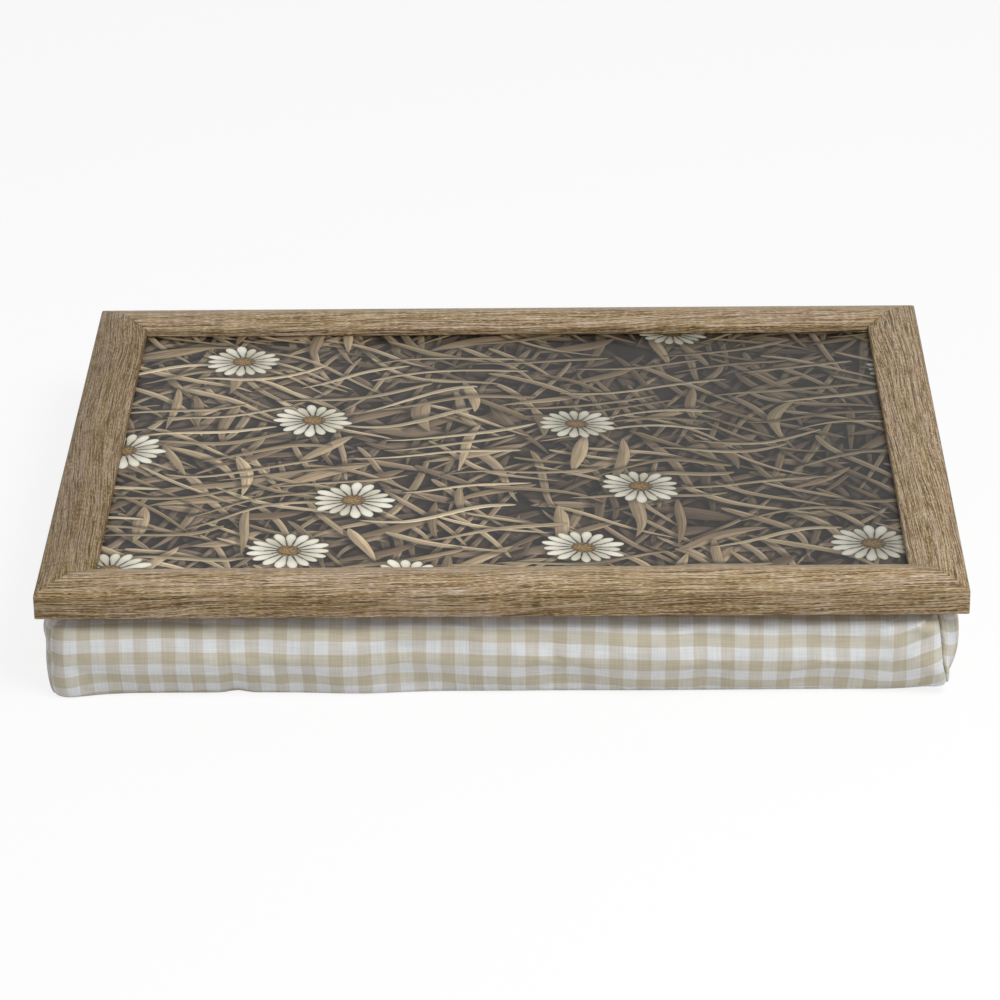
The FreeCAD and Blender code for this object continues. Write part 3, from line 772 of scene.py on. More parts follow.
# %% Printed laminate material
LAYERS = [
    (0.30, 62, 13.0, 0.9, 0.22, 0.9, 2.5, "#2c241e", "#4a3c30"),
    (1.25, 58, 11.0, 0.9, 0.25, 0.9, 2.0, "#32291f", "#57473a"),
    (2.35, 64, 9.0, 0.8, 0.20, 0.9, 1.6, "#3a2f25", "#665443"),
    (0.85, 70, 6.0, 0.6, 0.18, 0.9, 1.2, "#4a3d30", "#7a6650"),
    (2.80, 66, 7.5, 0.8, 0.20, 0.8, 1.0, "#4d3f31", "#86705a"),
    (1.70, 78, 4.2, 0.4, 0.14, 0.9, 0.8, "#5a4a39", "#93805f"),
    (0.10, 60, 8.0, 0.8, 0.22, 0.6, 0.8, "#5d4c3a", "#9b8466"),
    (2.10, 84, 3.8, 0.35, 0.13, 0.9, 0.6, "#6b5944", "#ac9673"),
    (1.05, 80, 4.2, 0.35, 0.14, 0.8, 0.5, "#75624a", "#b8a17d"),
    (2.60, 58, 7.0, 0.75, 0.22, 0.45, 0.6, "#6f5a42", "#b39a74"),
    (0.55, 88, 3.4, 0.3, 0.12, 0.75, 0.4, "#86724f", "#cbb48d"),
    (1.50, 56, 6.4, 0.75, 0.25, 0.35, 0.5, "#7d674a", "#c3aa82"),
    (2.95, 90, 3.0, 0.3, 0.10, 0.6, 0.4, "#94805c", "#d8c39b"),
]
CELL_LENGTH = 1.08
CELL_LEAN = 0.42
DAISIES = {"Angle": 0.45, "Seed": 3.0, "Cell": 62.0, "Radius": 21.0, "Share": 0.42}
EARTH_GRAIN = 9
SHADE_BACK = 0.6
SHADE_FROM_TO = (-120.0, 230.0)
SHADE_DEPTH = 0.60
PRINT_SATURATION = 0.86
PRINT_VALUE = 1.15


def object_millimetres(tree):
    """Place in the piece's own frame, in millimetres."""
    place = add(tree, "TexCoord")["Object"]
    return add(tree, "VectorMath", {"Vector": place, "Scale": 1 / MM}, operation="SCALE")[0]


def dress(material, *nodes):
    """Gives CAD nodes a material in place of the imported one."""
    for node in nodes:
        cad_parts[node].data.materials.clear()
        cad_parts[node].data.materials.append(material)


laminate, tree = new_material("Printed paper, satin laminated")
place = object_millimetres(tree)
earth = add(tree, "TexNoise", {"Vector": place, "Scale": 1 / EARTH_GRAIN, "Detail": 4.0},
            noise_dimensions="2D")[0]
picture = add(tree, "Mix", {0: earth, 6: linear("#120e0c"), 7: linear("#3a2f28")}, data_type="RGBA")[2]
for seed, (angle, length, width, taper, lean, share, edge, dark, light) in enumerate(LAYERS, start=1):
    cell = (length * CELL_LENGTH, width + 2 * lean * length * CELL_LEAN, 1.0)
    picture = add(tree, "Group", {
        "Place": place, "Below": picture, "Angle": angle, "Seed": float(seed), "Cell": cell,
        "Length": length, "Width": width, "Taper": taper, "Lean": lean, "Share": share,
        "Edge": edge, "Dark": linear(dark), "Light": linear(light)}, node_tree=leaf_layer)[0]
picture = add(tree, "Group", {"Place": place, "Below": picture, **DAISIES}, node_tree=daisy_layer)[0]
sides = add(tree, "SeparateXYZ", (place,))
shade = add(tree, "Math", (sides["Y"], SHADE_BACK, sides["X"]), operation="MULTIPLY_ADD")[0]
shade = add(tree, "MapRange", (shade, *SHADE_FROM_TO, 0, SHADE_DEPTH),
            interpolation_type="SMOOTHSTEP")[0]
picture = add(tree, "Mix", {0: shade, 6: picture, 7: BLACK}, data_type="RGBA")[2]
picture = add(tree, "HueSaturation", {
    "Color": picture, "Value": PRINT_VALUE, "Saturation": PRINT_SATURATION})[0]
finish = add(tree, "BsdfPrincipled", {
    "Base Color": picture, "Roughness": 0.42, "Specular IOR Level": 0.22})[0]
add(tree, "OutputMaterial", (finish,))
dress(laminate, "printed_top_sheet")
print("Printed sheet:", len(tree.nodes), "nodes in", len(LAYERS), "layers of leaves")

# %% [markdown]
# ## Hidden fittings
# Under the print are the pieces that show only when the tray is lifted: the hardboard that backs the
# print, the steel points and wedge nails that a framer drives in, and the hook and loop tapes. Their
# CAD shapes are right, so they stay, and each gets its own finish. Hardboard gives the eye brown
# specks in faint clouds, and plated steel a broken grey shine. Hook tape shows its rows of small
# stubs, and loop tape a soft fuzz.

# %% Hardboard, steel and tapes
BOARD_SPECKS = 1.4
BOARD_CLOUDS = 45
BOARD_SPECK_SHARE = 0.6
BOARD_TONES = ((0.35, "#57402a"), (0.65, "#8a6a48"))
STEEL_SCUFFS = 1.1
SCUFF_RANGE = (0.3, 0.7)
STEEL_ROUGHNESS = (0.28, 0.48)
TAPE_PITCH = 1.6
TAPE_HAIRS = 0.5
PILE_RANGE = (0.2, 0.8)
PILE_TONES = (1.0, 0.72)

hardboard, tree = new_material("Hardboard, pressed from wood fibre")
place = object_millimetres(tree)
specks = add(tree, "TexNoise", {"Vector": place, "Scale": 1 / BOARD_SPECKS, "Detail": 4.0})[0]
clouds = add(tree, "TexNoise", {"Vector": place, "Scale": 1 / BOARD_CLOUDS, "Detail": 2.0})[0]
tone = add(tree, "Math", (specks, BOARD_SPECK_SHARE), operation="MULTIPLY")[0]
tone = add(tree, "Math", (clouds, 1 - BOARD_SPECK_SHARE, tone), operation="MULTIPLY_ADD")[0]
board = add(tree, "ValToRGB", (tone,))[0]
for element, (at, code) in zip(board.node.color_ramp.elements, BOARD_TONES):
    element.position = at
    element.color = linear(code)
relief = add(tree, "Bump", {"Height": specks, "Strength": 0.4, "Distance": 0.3 * MM})[0]
finish = add(tree, "BsdfPrincipled", {"Base Color": board, "Roughness": 0.75, "Normal": relief})[0]
add(tree, "OutputMaterial", (finish,))
dress(hardboard, "backing_board")

steel, tree = new_material("Mild steel, stamped and zinc plated")
place = object_millimetres(tree)
scuffs = add(tree, "TexNoise", {"Vector": place, "Scale": 1 / STEEL_SCUFFS, "Detail": 3.0})[0]
plating = add(tree, "Mix", {0: scuffs, 6: linear("#9b9da0"), 7: linear("#c4c6c8")},
              data_type="RGBA")[2]
roughness = add(tree, "MapRange", (scuffs, *SCUFF_RANGE, *STEEL_ROUGHNESS))[0]
finish = add(tree, "BsdfPrincipled", {
    "Base Color": plating, "Metallic": 1.0, "Roughness": roughness})[0]
add(tree, "OutputMaterial", (finish,))
dress(steel, "corner_wedge_nails", "framing_points")

for title, nodes, fuzz, code in (
        ("Nylon hook tape, woven and cut", "hook_strip_", 0.25, "#e4e0d4"),
        ("Nylon loop tape, woven and brushed", "loop_strip_", 0.85, "#ebe7dd")):
    tape, tree = new_material(title)
    place = object_millimetres(tree)
    pile = add(tree, "TexVoronoi", {
        "Vector": place, "Scale": 1 / TAPE_PITCH, "Randomness": fuzz})["Distance"]
    hairs = add(tree, "TexNoise", {"Vector": place, "Scale": 1 / TAPE_HAIRS, "Detail": 3.0})[0]
    tuft = add(tree, "Mix", {0: fuzz, 2: pile, 3: hairs}, data_type="FLOAT")[0]
    tone = add(tree, "MapRange", (tuft, *PILE_RANGE, *PILE_TONES))[0]
    nylon = add(tree, "HueSaturation", {"Color": linear(code), "Value": tone})[0]
    relief = add(tree, "Bump", {"Height": tuft, "Strength": 0.8, "Distance": 0.4 * MM})[0]
    finish = add(tree, "BsdfPrincipled", {
        "Base Color": nylon, "Roughness": 0.85, "Sheen Weight": 0.15, "Normal": relief})[0]
    add(tree, "OutputMaterial", (finish,))
    dress(tape, *(nodes + side for side in ("front", "right", "back", "left")))
print("Fittings dressed:", hardboard.name, "/", steel.name)

# %% [markdown]
# ## Gingham cotton
# A plain weave of white and dyed yarns in equal stripes both ways. It has three tones: white where
# white crosses white, full tan where dyed crosses dyed, and a half tone between them, in which the
# dyed yarns show as fine lines along their own direction. Real yarns are about 0.3 mm apart. They are
# drawn at 0.6 mm here, so that they show at all. The cloth is matt, with a slight bloom from its
# fibre ends. Its UV map is in metres, so the check has its real size on every panel.

# %% Gingham material
CHECK_REPEAT = 12.95
STRIPE_EDGE = 0.10
YARN = 0.6
SLUB_LENGTH = 18
SLUB_RANGE = (0.6, 1.4)
SLUB_TONES = (0.90, 1.08)
SLUB_RELIEF = 6.0
WANDER = 1.6
WANDER_LENGTH = 30
NOISE_MIDDLE = (0.5, 0.5, 0.5)


def wave(tree, value, repeat):
    """Cosine of a value, with this repeat."""
    turn = add(tree, "Math", (value, 2 * math.pi / repeat), operation="MULTIPLY")[0]
    return add(tree, "Math", (turn,), operation="COSINE")[0]


gingham, tree = new_material("Gingham cotton, yarn-dyed plain weave")
flat = uv_millimetres(tree)
wander = add(tree, "TexNoise", {"Vector": flat, "Scale": 1 / WANDER_LENGTH, "Detail": 2.0},
             noise_dimensions="2D")["Color"]
wander = add(tree, "VectorMath", (wander, NOISE_MIDDLE), operation="SUBTRACT")[0]
wander = add(tree, "VectorMath", {"Vector": wander, "Scale": WANDER}, operation="SCALE")[0]
woven = add(tree, "VectorMath", (flat, wander), operation="ADD")[0]
both_ways = add(tree, "SeparateXYZ", (woven,))
dyed, slubs, yarns = [], [], []
for axis in (0, 1):
    stripe = wave(tree, both_ways[axis], CHECK_REPEAT)
    dyed.append(add(tree, "MapRange", (stripe, -STRIPE_EDGE, STRIPE_EDGE),
                    interpolation_type="SMOOTHSTEP")[0])
    size = [SLUB_LENGTH, SLUB_LENGTH]
    size[axis] = YARN
    slubs.append(streaky(tree, woven, size))
    yarns.append(wave(tree, both_ways[axis], YARN))

cloth = linear("#dadbdc")
for share, code in zip(dyed, ("#efe9de", "#ece6d5")):
    cloth = add(tree, "Mix", {0: share, 6: cloth, 7: linear(code)}, data_type="RGBA",
                blend_type="MULTIPLY")[2]
streak = add(tree, "Math", slubs, operation="ADD")[0]
streak = add(tree, "MapRange", (streak, *SLUB_RANGE, *SLUB_TONES))[0]
cloth = add(tree, "HueSaturation", {"Color": cloth, "Value": streak})[0]
relief = add(tree, "Math", yarns, operation="MULTIPLY")[0]
relief = add(tree, "Math", (streak, SLUB_RELIEF, relief), operation="MULTIPLY_ADD")[0]
relief = add(tree, "Bump", {"Height": relief, "Strength": 0.25, "Distance": 0.1 * MM})[0]
finish = add(tree, "BsdfPrincipled", {
    "Base Color": cloth, "Roughness": 0.9, "Specular IOR Level": 0.2, "Sheen Weight": 0.1,
    "Sheen Roughness": 0.5, "Normal": relief})[0]
add(tree, "OutputMaterial", (finish,))
print("Gingham:", CHECK_REPEAT, "mm repeat,", len(tree.nodes), "nodes")

# %% [markdown]
# ## The cushion's outline
# The cushion is a box of six panels, stuffed with beads. Its plan is a rectangle with soft corners,
# drawn by its turning: walk round it, and the heading is constant on a side and swings by a quarter at
# a corner. Adding up short steps along that heading gives the outline, and the same walk gives the
# outward direction everywhere. Blurring the heading makes the corners run softly into the sides.

# %% Walk round the cushion
CUSHION_HALF = np.array([213.3, 163.2]) * MM
CUSHION_SHIFT = -0.8 * MM
CORNER = 15 * MM
WALK_STEP = 0.5 * MM
CORNER_BLUR = 8 * MM


def walk_round(half, corner):
    """Distance, plan points and heading of a rounded rectangle, from the front's middle to its right.

    The heading rises by a quarter turn along each corner's arc and is then blurred by a moving
    average; the points are the running sum of steps along it."""
    side = half - corner
    quarter_arc = corner * math.pi / 2
    lengths = np.array([side[0], quarter_arc, 2 * side[1], quarter_arc, 2 * side[0],
                        quarter_arc, 2 * side[1], quarter_arc, side[0]])
    turns = np.array([0, 1, 0, 1, 0, 1, 0, 1, 0]) * math.pi / 2
    ends = np.concatenate([[0], np.cumsum(lengths)])
    count = int(round(ends[-1] / WALK_STEP))
    distance = np.arange(count) * ends[-1] / count
    heading = np.interp(distance, ends, np.concatenate([[0], np.cumsum(turns)]))
    blur = int(CORNER_BLUR / WALK_STEP)
    bend = np.diff(heading, append=2 * math.pi)
    window = np.fft.rfft(np.roll(np.pad(np.ones(blur) / blur, (0, count - blur)), -(blur // 2)))
    bend = np.fft.irfft(np.fft.rfft(bend) * window, count)
    heading = np.cumsum(bend) - bend[0]
    steps = np.stack([np.cos(heading), np.sin(heading)], axis=1) * ends[-1] / count
    plan = np.cumsum(steps, axis=0) - steps[0]
    plan -= (plan.max(axis=0) + plan.min(axis=0)) / 2
    plan[:, 0] += CUSHION_SHIFT
    return distance, plan, heading, ends[-1]


walked, plan, heading, GIRTH = walk_round(CUSHION_HALF, CORNER)
print("Girth:", round(GIRTH / MM), "mm, plan", np.round(np.ptp(plan, axis=0) / MM, 1), "mm")


def outline(distance):
    """Plan point and outward direction at a distance round the cushion; the walk repeats."""
    lap = np.mod(distance, GIRTH)
    x = np.interp(lap, walked, plan[:, 0], period=GIRTH)
    y = np.interp(lap, walked, plan[:, 1], period=GIRTH)
    angle = np.interp(lap, walked, np.unwrap(heading)) - math.pi / 2
    return np.stack([x, y], axis=-1), np.stack([np.cos(angle), np.sin(angle)], axis=-1)


# %% [markdown]
# ## Side panels
# Four gingham panels make the sides, sewn to each other in the corners. From the top seam to the
# bottom seam the beads push each one out: it rounds out from the top seam, is fullest near the middle,
# and then turns under faster and faster. That is a curve drawn by its tilt, which is added up in short
# steps as the outline was. The front panel has a straighter curve of its own, and the frame presses
# its top edge in.

# %% Side profile
TOP_SEAM = 42.2 * MM
BOTTOM_SEAM = 0.6 * MM
TOP_TILT = math.radians(14)
BOTTOM_TILT = math.radians(-46)
TILT_POWER = 2.0
FRONT_TOP_TILT = math.radians(12)
FRONT_BOTTOM_TILT = math.radians(-23)
FRONT_TURN = (0.38, 0.68)
SHOULDER_TILT = math.radians(64)
SHOULDER = 0.12
ROWS = 27
FINE_PER_ROW = 20
fine = np.linspace(0, 1, FINE_PER_ROW * (ROWS - 1) + 1)


def ease(share):
    """Smooth step from nought to one, level at both ends."""
    share = np.clip(share, 0, 1)
    return share * share * (3 - 2 * share)


def hill(distance, centre, width):
    """A smooth bump of height one: the bell curve of the distance from its centre."""
    return np.exp(-((distance - centre) / width) ** 2)


def side_curve(tilt):
    """Length of cloth, outward move from the bottom seam and height, down a panel with this tilt.

    They are running sums of the tilt's sine and cosine, scaled to fall from seam to seam."""
    tilt = tilt + SHOULDER_TILT * hill(fine, 0, SHOULDER)
    middles = (tilt[1:] + tilt[:-1]) / 2
    length = (TOP_SEAM - BOTTOM_SEAM) / np.cos(middles).mean()
    step = length / len(middles)
    out = np.concatenate([[0], np.cumsum(np.sin(middles))]) * step
    fall = np.concatenate([[0], np.cumsum(np.cos(middles))]) * step
    return length, out - out[-1], TOP_SEAM - fall


SIDE_LENGTH, fine_out, fine_height = side_curve(
    TOP_TILT + (BOTTOM_TILT - TOP_TILT) * fine ** TILT_POWER)
front_turn = ease((fine - FRONT_TURN[0]) / (FRONT_TURN[1] - FRONT_TURN[0]))
front_length, front_out, front_height = side_curve(
    FRONT_TOP_TILT + (FRONT_BOTTOM_TILT - FRONT_TOP_TILT) * front_turn)
WIDEST_AT = fine[fine_out.argmax()]
down = fine[::FINE_PER_ROW]
cloth_down = SIDE_LENGTH * down
side_out = (fine_out - fine_out.max())[::FINE_PER_ROW]
side_height = fine_height[::FINE_PER_ROW]
front_more_out = (front_out - fine_out)[::FINE_PER_ROW]
front_more_height = (front_height - fine_height)[::FINE_PER_ROW]
print("Side panel:", round(SIDE_LENGTH / MM, 1), "mm of cloth, seams set in by",
      np.round(-side_out[[0, -1]] / MM, 1), "mm; front:", round(front_length / MM, 1), "mm of cloth")

# %% [markdown]
# ## Seams, creases and slack
# The sewn corners pull in to a crease, and the cloth beside a crease swells. On the real cushion the
# cover has slipped round the filling: the front panel's left seam lies round the corner and its right
# seam shows in front, the left corner is full down to the floor, and the cloth is drawn up towards the
# right seam, where it bunches into small pleats under the frame. The left panel is slack and has a
# fold below its top seam. Lists of four below run from the front left corner to the right, round to
# the back left one. A side has the number of the corner that it starts from.

# %% Where the seams run
SEAM_NEAR = np.array([0.0, 0.5, 1.1, 1.9, 2.9, 4.2, 5.6, 7.1, 8.7,
                      10.4, 12.2, 14.1, 16.1, 18.3, 20.8]) * MM
COLUMN_STEP = 3.4 * MM
SLIP_TOP = np.array([-3.0, -7.5, 2.0, -3.0]) * MM
SLIP_BOTTOM = np.array([-3.0, -3.4, 3.0, -2.0]) * MM
SLIP_POWER = 1.6

to_corner = CUSHION_HALF[0] - CORNER + CORNER * math.pi / 4
round_side = GIRTH / 2 - 2 * to_corner
CORNERS = np.array([-to_corner, to_corner, to_corner + round_side, 3 * to_corner + round_side])


def seam_line(corner):
    """Distance round the cushion of a corner seam at each row: the corner plus its slip."""
    start = CORNERS[corner % 4] + (GIRTH if corner == 4 else 0.0)
    top, bottom = SLIP_TOP[corner % 4], SLIP_BOTTOM[corner % 4]
    return start + top + (bottom - top) * down ** SLIP_POWER


def column_shares(length):
    """Shares of a panel's length at which its columns stand: close together next to the seams."""
    inner = int((length - 2 * SEAM_NEAR[-1]) / COLUMN_STEP)
    middle = np.linspace(SEAM_NEAR[-1], length - SEAM_NEAR[-1], inner)
    return np.concatenate([SEAM_NEAR[:-1], middle, length - SEAM_NEAR[-2::-1]]) / length


shares = (column_shares(2 * to_corner), column_shares(round_side))
print("Columns on a long and a short side:", [len(share) for share in shares])

# %% Filling and unevenness
chance = np.random.default_rng(seed=7)
WAVE_COUNTS = np.array([5, 8, 11, 17, 23])
WAVE_HEIGHTS = np.array([0.5, 0.4, 0.35, 0.25, 0.2]) * MM
WAVE_AT_SEAMS = 0.3
wave_starts = chance.uniform(0, 2 * math.pi, len(WAVE_COUNTS))


def unevenness(distance):
    """Slow swell of the filling round the cushion: a sum of five sine waves with whole counts."""
    turn = 2 * math.pi * distance[..., None] / GIRTH * WAVE_COUNTS + wave_starts
    return (np.sin(turn) * WAVE_HEIGHTS).sum(axis=-1)


print("Filling swells by up to", round(WAVE_HEIGHTS.sum() / MM, 1), "mm")

# %% Form of a side panel
FRONT, RIGHT, BACK, LEFT = range(4)
PINCH = np.array([1.3, 3.6, 3.0, 3.0]) * MM
PINCH_FADE = np.array([0.7, 0.3, 0.7, 0.7])
PINCH_REACH_BEFORE = np.array([1.4, 0.35, 1.4, 1.4]) * MM
PINCH_REACH_AFTER = np.array([1.4, 0.45, 1.4, 1.4]) * MM
SWELL = np.array([0.3, 0.3, 0.8, 0.8]) * MM
SWELL_AT = 9 * MM
SWELL_WIDTH = 6 * MM
FULL_FOOT = np.array([6.0, 8.2, 3.0, 3.0]) * MM
FULL_POWER = 1.4
FULL_REACH_BEFORE = np.array([22.0, 7.0, 22.0, 22.0]) * MM
FULL_REACH_AFTER = np.array([22.0, 5.0, 22.0, 22.0]) * MM
LIFT = np.array([0.4, 6.4, 1.5, 1.2]) * MM
LIFT_REACH = 8 * MM
TUCK = np.array([0.0, 1.8, 0.0, 0.0]) * MM
TUCK_FULL_FROM = 0.7
TUCK_REACH = 4 * MM
SLACK = np.array([0.0, 0.0, 0.0, 2.0]) * MM
FOLD = 1.6 * MM
FOLD_AT = 0.27
FOLD_WIDTH = 0.08
PRESSED = 5.5 * MM
PRESSED_FROM_TO = (0.06, 0.20)
OWN_CURVE_FROM = np.array([36.0, 26.0]) * MM
FOOT_DENT, FOOT_DENT_AT, FOOT_DENT_WIDTH = np.array([2.4, -124, 5]) * MM
FOOT_SWELL, FOOT_SWELL_AT, FOOT_SWELL_WIDTH = np.array([1.6, -65, 22]) * MM
BUNCH_DOWN = (0.12, 0.14)
BUNCH_AT = 8 * MM
BUNCH_WIDTH = 6 * MM
BUNCH_HEIGHT = 4.5 * MM
BUNCH_REACH = 2 * MM
PLEAT_HEIGHT = 1.6 * MM
PLEAT_REPEAT = 5.2 * MM
PLEAT_SLANT = 0.5


def front_form(distance, after, before, low):
    """What the front panel has of its own, as outward move and rise: its straighter curve away from
    the seams, a dent and a swell at the foot, and sine-wave pleats under the frame at the right."""
    own = (1 - hill(after, 0, OWN_CURVE_FROM[0])) * (1 - hill(before, 0, OWN_CURVE_FROM[1]))
    out = front_more_out[:, None] * own
    out -= FOOT_DENT * low * hill(distance, FOOT_DENT_AT, FOOT_DENT_WIDTH)
    out += FOOT_SWELL * low * hill(distance, FOOT_SWELL_AT, FOOT_SWELL_WIDTH)
    bunched = hill(down, *BUNCH_DOWN)[:, None] * hill(before, BUNCH_AT, BUNCH_WIDTH)
    phase = (before - PLEAT_SLANT * cloth_down[:, None]) / PLEAT_REPEAT
    pleat = BUNCH_HEIGHT + PLEAT_HEIGHT * np.sin(2 * math.pi * phase)
    out += pleat * bunched * (1 - np.exp(-before / BUNCH_REACH))
    return out, front_more_height[:, None] * own


def side_form(side, distance, after, before):
    """Outward move and rise of a side panel's points from the plan outline and the side curve.

    The filling swells the foot and the cloth beside the seams, each seam pulls in an exponential
    crease and draws the foot up, and what is pressed, slack or folded lies further in."""
    low = np.clip((down - WIDEST_AT) / (1 - WIDEST_AT), 0, 1)[:, None] ** FULL_POWER
    belly = np.sin(math.pi * down)[:, None]
    out = side_out[:, None] + unevenness(distance) * (WAVE_AT_SEAMS + (1 - WAVE_AT_SEAMS) * belly)
    rise = np.zeros_like(distance)
    flat = TUCK[side] * ease(down / TUCK_FULL_FROM)
    if side == FRONT:
        start, stop = PRESSED_FROM_TO
        flat += PRESSED * (1 - ease((down - start) / (stop - start)))
    if side == LEFT:
        flat -= FOLD * hill(down, FOLD_AT, FOLD_WIDTH)
    flat = flat[:, None] + SLACK[side] * belly
    for gap, corner, reach, full_reach in (
            (after, side, PINCH_REACH_AFTER, FULL_REACH_AFTER),
            (before, (side + 1) % 4, PINCH_REACH_BEFORE, FULL_REACH_BEFORE)):
        flat = flat * (1 - hill(gap, 0, TUCK_REACH))
        out += FULL_FOOT[corner] * low * hill(gap, 0, full_reach[corner])
        out -= PINCH[corner] * (1 - PINCH_FADE[corner] * low) * np.exp(-gap / reach[corner])
        out += SWELL[corner] * belly * hill(gap, SWELL_AT, SWELL_WIDTH)
        rise += LIFT[corner] * low * np.exp(-gap / LIFT_REACH)
    out -= flat
    if side == FRONT:
        own_out, own_rise = front_form(distance, after, before, low)
        out += own_out
        rise += own_rise
    return out, rise


# %% Check on a side panel
FIRST_ROW = 13.0 * MM
FIRST_COLUMN = 0.9 * MM
CHECK_SLANT = np.array([0.0245, -0.012, 0.010, -0.015])
CHECK_BOW = 0.008
DRAWN = np.array([-3.4, 7.5, 3.0, 2.0]) * MM
DRAWN_REACH = np.array([25.0, 10.8, 11.0, 11.0]) * MM
PULLED_UP, PULLED_UP_AT, PULLED_UP_WIDTH = np.array([5.5, 8, 10]) * MM
GATHERED, GATHERED_AT, GATHERED_WIDTH = np.array([1.75, 28, 26]) * MM


def side_cloth(side, distance, after, before):
    """UVs of a side panel's points: lengths along and down the cloth. The rows slant and bow a little
    and slide near the seams, where the cloth is drawn up or down."""
    middle = distance - (CORNERS[side] + (to_corner, round_side / 2)[side % 2])
    row = cloth_down[:, None] - FIRST_ROW - (CHECK_SLANT[side] * middle + CHECK_BOW * middle ** 2)
    column = middle - FIRST_COLUMN
    for gap, corner in ((after, side), (before, (side + 1) % 4)):
        row += DRAWN[corner] * np.exp(-gap / DRAWN_REACH[corner])
    if side == FRONT:
        row += PULLED_UP * (1 - down[:, None]) * hill(before, PULLED_UP_AT, PULLED_UP_WIDTH)
        column -= GATHERED * hill(before, GATHERED_AT, GATHERED_WIDTH)
    return np.stack([column, -row], axis=-1)


def side_panel(side):
    """Points and UVs of one side panel on a grid of rows down and columns along.

    A point is the plan outline at its distance round, moved outwards by the panel's form. Its height
    is the side curve's plus the form's rise."""
    start = seam_line(side)[:, None]
    stop = seam_line(side + 1)[:, None]
    distance = start + (stop - start) * shares[side % 2][None]
    after = distance - start
    before = stop - distance
    plan_point, outward = outline(distance)
    out, rise = side_form(side, distance, after, before)
    height = side_height[:, None] + rise
    points = np.concatenate([plan_point + out[..., None] * outward, height[..., None]], axis=-1)
    return points, side_cloth(side, distance, after, before)


panels = [side_panel(side) for side in (FRONT, RIGHT, BACK, LEFT)]
print("Side panels:", [points.shape[:2] for points, uv in panels], "rows and columns")

# %% [markdown]
# ## Top and bottom panels, and the sewn cover
# The top and bottom panels start from the seams round the cushion and close towards the middle in
# rings that shrink to one point. The top rises under the tray to where the loop tapes are sewn on, and
# the bottom lies flat on the floor. All six panels share their seam points, so merging them sews the
# cover shut.

# %% Panels sewn together
CROWN = 3.2 * MM
CROWN_WIDTH = 26 * MM
FLAT_START = 9 * MM
CREASE_REACH = 7.2 * MM
HELD = "held_by_seams"
PLEAT_ROWS = 13
COVER_SHARP = 70
RINGS = np.array([0, 1, 2.2, 3.6, 5.2, 7.2, 9.6, 12.5, 16, 20, 25, 31, 38, 60, 90, 125, 163.2]) * MM


def ringed_panel(row):
    """Rings from the seam at a row of the side panels to the middle, with the plan as UVs.

    Each ring is the seam shrunk about the upright axis by its distance in, over the cushion's half
    depth. The seam's creases ease out into the plain outline over the first few millimetres."""
    seam = np.concatenate([points[row] for points, uv in panels[:4]])
    ends = [seam_line(corner)[row] for corner in range(5)]
    distance = np.concatenate([ends[side] + (ends[side + 1] - ends[side]) * shares[side % 2]
                               for side in range(4)])
    plan_point, outward = outline(distance)
    plain = plan_point + side_out[row] * outward
    creased = 1 - ease(RINGS / CREASE_REACH)[:, None, None]
    shrink = 1 - RINGS[:, None, None] / CUSHION_HALF[1]
    plan_points = (plain + (seam[:, :2] - plain) * creased) * shrink
    heights = np.broadcast_to(seam[:, 2:], plan_points.shape[:2] + (1,))
    return np.concatenate([plan_points, heights], axis=-1), plan_points


top, top_uv = ringed_panel(0)
top[..., 2] += (TOP_SEAM + CROWN - top[..., 2]) * ease(RINGS / CROWN_WIDTH)[:, None]
bottom, bottom_uv = ringed_panel(-1)
bottom[..., 2] *= 1 - ease(RINGS / FLAT_START)[:, None]
panels += [(top, top_uv), (bottom, bottom_uv)]

all_points, all_uv, all_faces, all_held = [], [], [], []
for number, (points, uv) in enumerate(panels):
    rows, columns = points.shape[:2]
    held = np.full((rows, columns), number > LEFT, dtype=float)
    held[[0, -1]] = 1
    held[:, [0, -1]] = 1
    if number == FRONT:
        held[:PLEAT_ROWS, -len(SEAM_NEAR):] = 1
    all_faces.append(grid_faces(rows, columns) + sum(len(block) for block in all_points))
    all_points.append(points.reshape(-1, 3))
    all_uv.append(uv.reshape(-1, 2))
    all_held.append(held.ravel())
cover = new_piece("cushion_cover", np.concatenate(all_points), np.concatenate(all_faces).tolist(),
                  np.concatenate(all_uv), gingham, COVER_SHARP, {HELD: np.concatenate(all_held)})

# %% [markdown]
# ## Beads press on the cover
# A form from code alone is too even for sewn cotton. Blender's Cloth loosens it: the seams, the pleats
# and the panels above and below are held, the side panels are cut a little larger than the form, and
# the beads press on them from inside. They swell between the seams and pucker along them. How far a
# point may move is capped, and the result is written into the mesh, so no simulation is left on it.

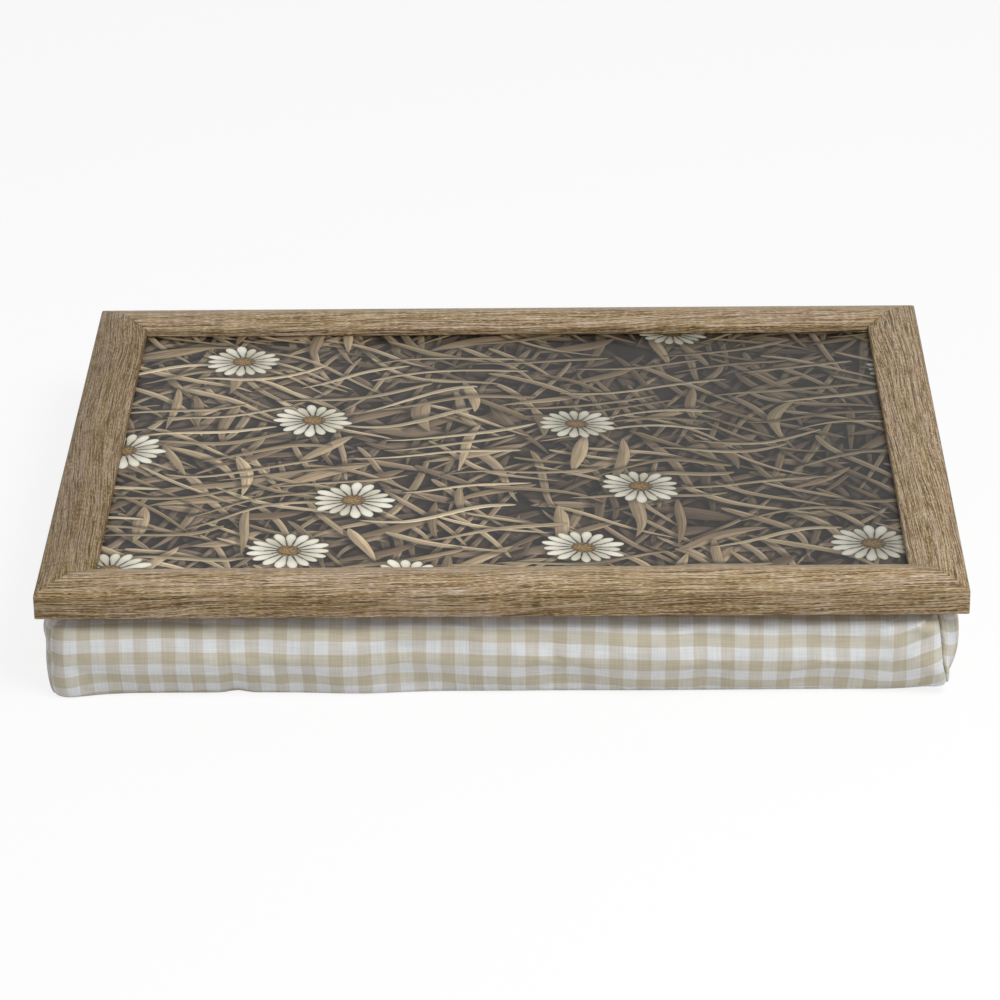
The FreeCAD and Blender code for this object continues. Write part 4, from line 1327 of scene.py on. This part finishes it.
# %% Cloth simulation
LOOSE_CUT = 0.007
BEAD_PRESSURE = 1.0
FURTHEST = 1.6 * MM
NO_MOVE = 1e-9
FRAMES = 20
COTTON = {"quality": 6, "mass": 0.15, "tension_stiffness": 20, "compression_stiffness": 20,
          "shear_stiffness": 8, "bending_stiffness": 0.4, "shrink_min": -LOOSE_CUT,
          "use_pressure": True, "uniform_pressure_force": BEAD_PRESSURE}


def coordinates(mesh):
    """All of a mesh's coordinates in one row."""
    row = np.empty(3 * len(mesh.vertices), dtype=np.float32)
    mesh.vertices.foreach_get("co", row)
    return row


def settle(piece):
    """Runs Cloth on a piece and moves each point by d * tanh(m / d) / m of its own move, where m is the
    move's length and d the furthest allowed."""
    mesh = piece.data
    held = np.empty(len(mesh.vertices), dtype=np.float32)
    mesh.attributes[HELD].data.foreach_get("value", held)
    group = piece.vertex_groups.new(name=HELD)
    group.add(np.nonzero(held > 0)[0].tolist(), 1.0, "REPLACE")
    cloth = piece.modifiers.new("Cotton", "CLOTH")
    for name, value in COTTON.items():
        setattr(cloth.settings, name, value)
    cloth.settings.vertex_group_mass = HELD
    cloth.settings.effector_weights.gravity = 0
    cloth.collision_settings.use_collision = False
    cloth.point_cache.frame_start = 1
    cloth.point_cache.frame_end = FRAMES
    before = coordinates(mesh)
    for number in range(1, FRAMES + 1):
        scene.frame_set(number)
    settled = piece.evaluated_get(bpy.context.evaluated_depsgraph_get())
    after = coordinates(settled.data)
    piece.modifiers.remove(cloth)
    piece.vertex_groups.remove(group)
    scene.frame_set(1)
    move = (after - before).reshape(-1, 3)
    length = np.linalg.norm(move, axis=1, keepdims=True) + NO_MOVE
    move *= FURTHEST * np.tanh(length / FURTHEST) / length
    mesh.vertices.foreach_set("co", before + move.ravel())
    mesh.update()
    print("Cloth moved points by up to", round(float(length.max() / MM), 2), "mm, kept",
          round(float(np.linalg.norm(move, axis=1).max() / MM), 2), "mm")


settle(cover)
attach(cover, "cushion")
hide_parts("cushion_front_panel", "cushion_right_panel", "cushion_back_panel",
            "cushion_left_panel", "cushion_top_panel", "cushion_bottom_panel", "bead_fill")
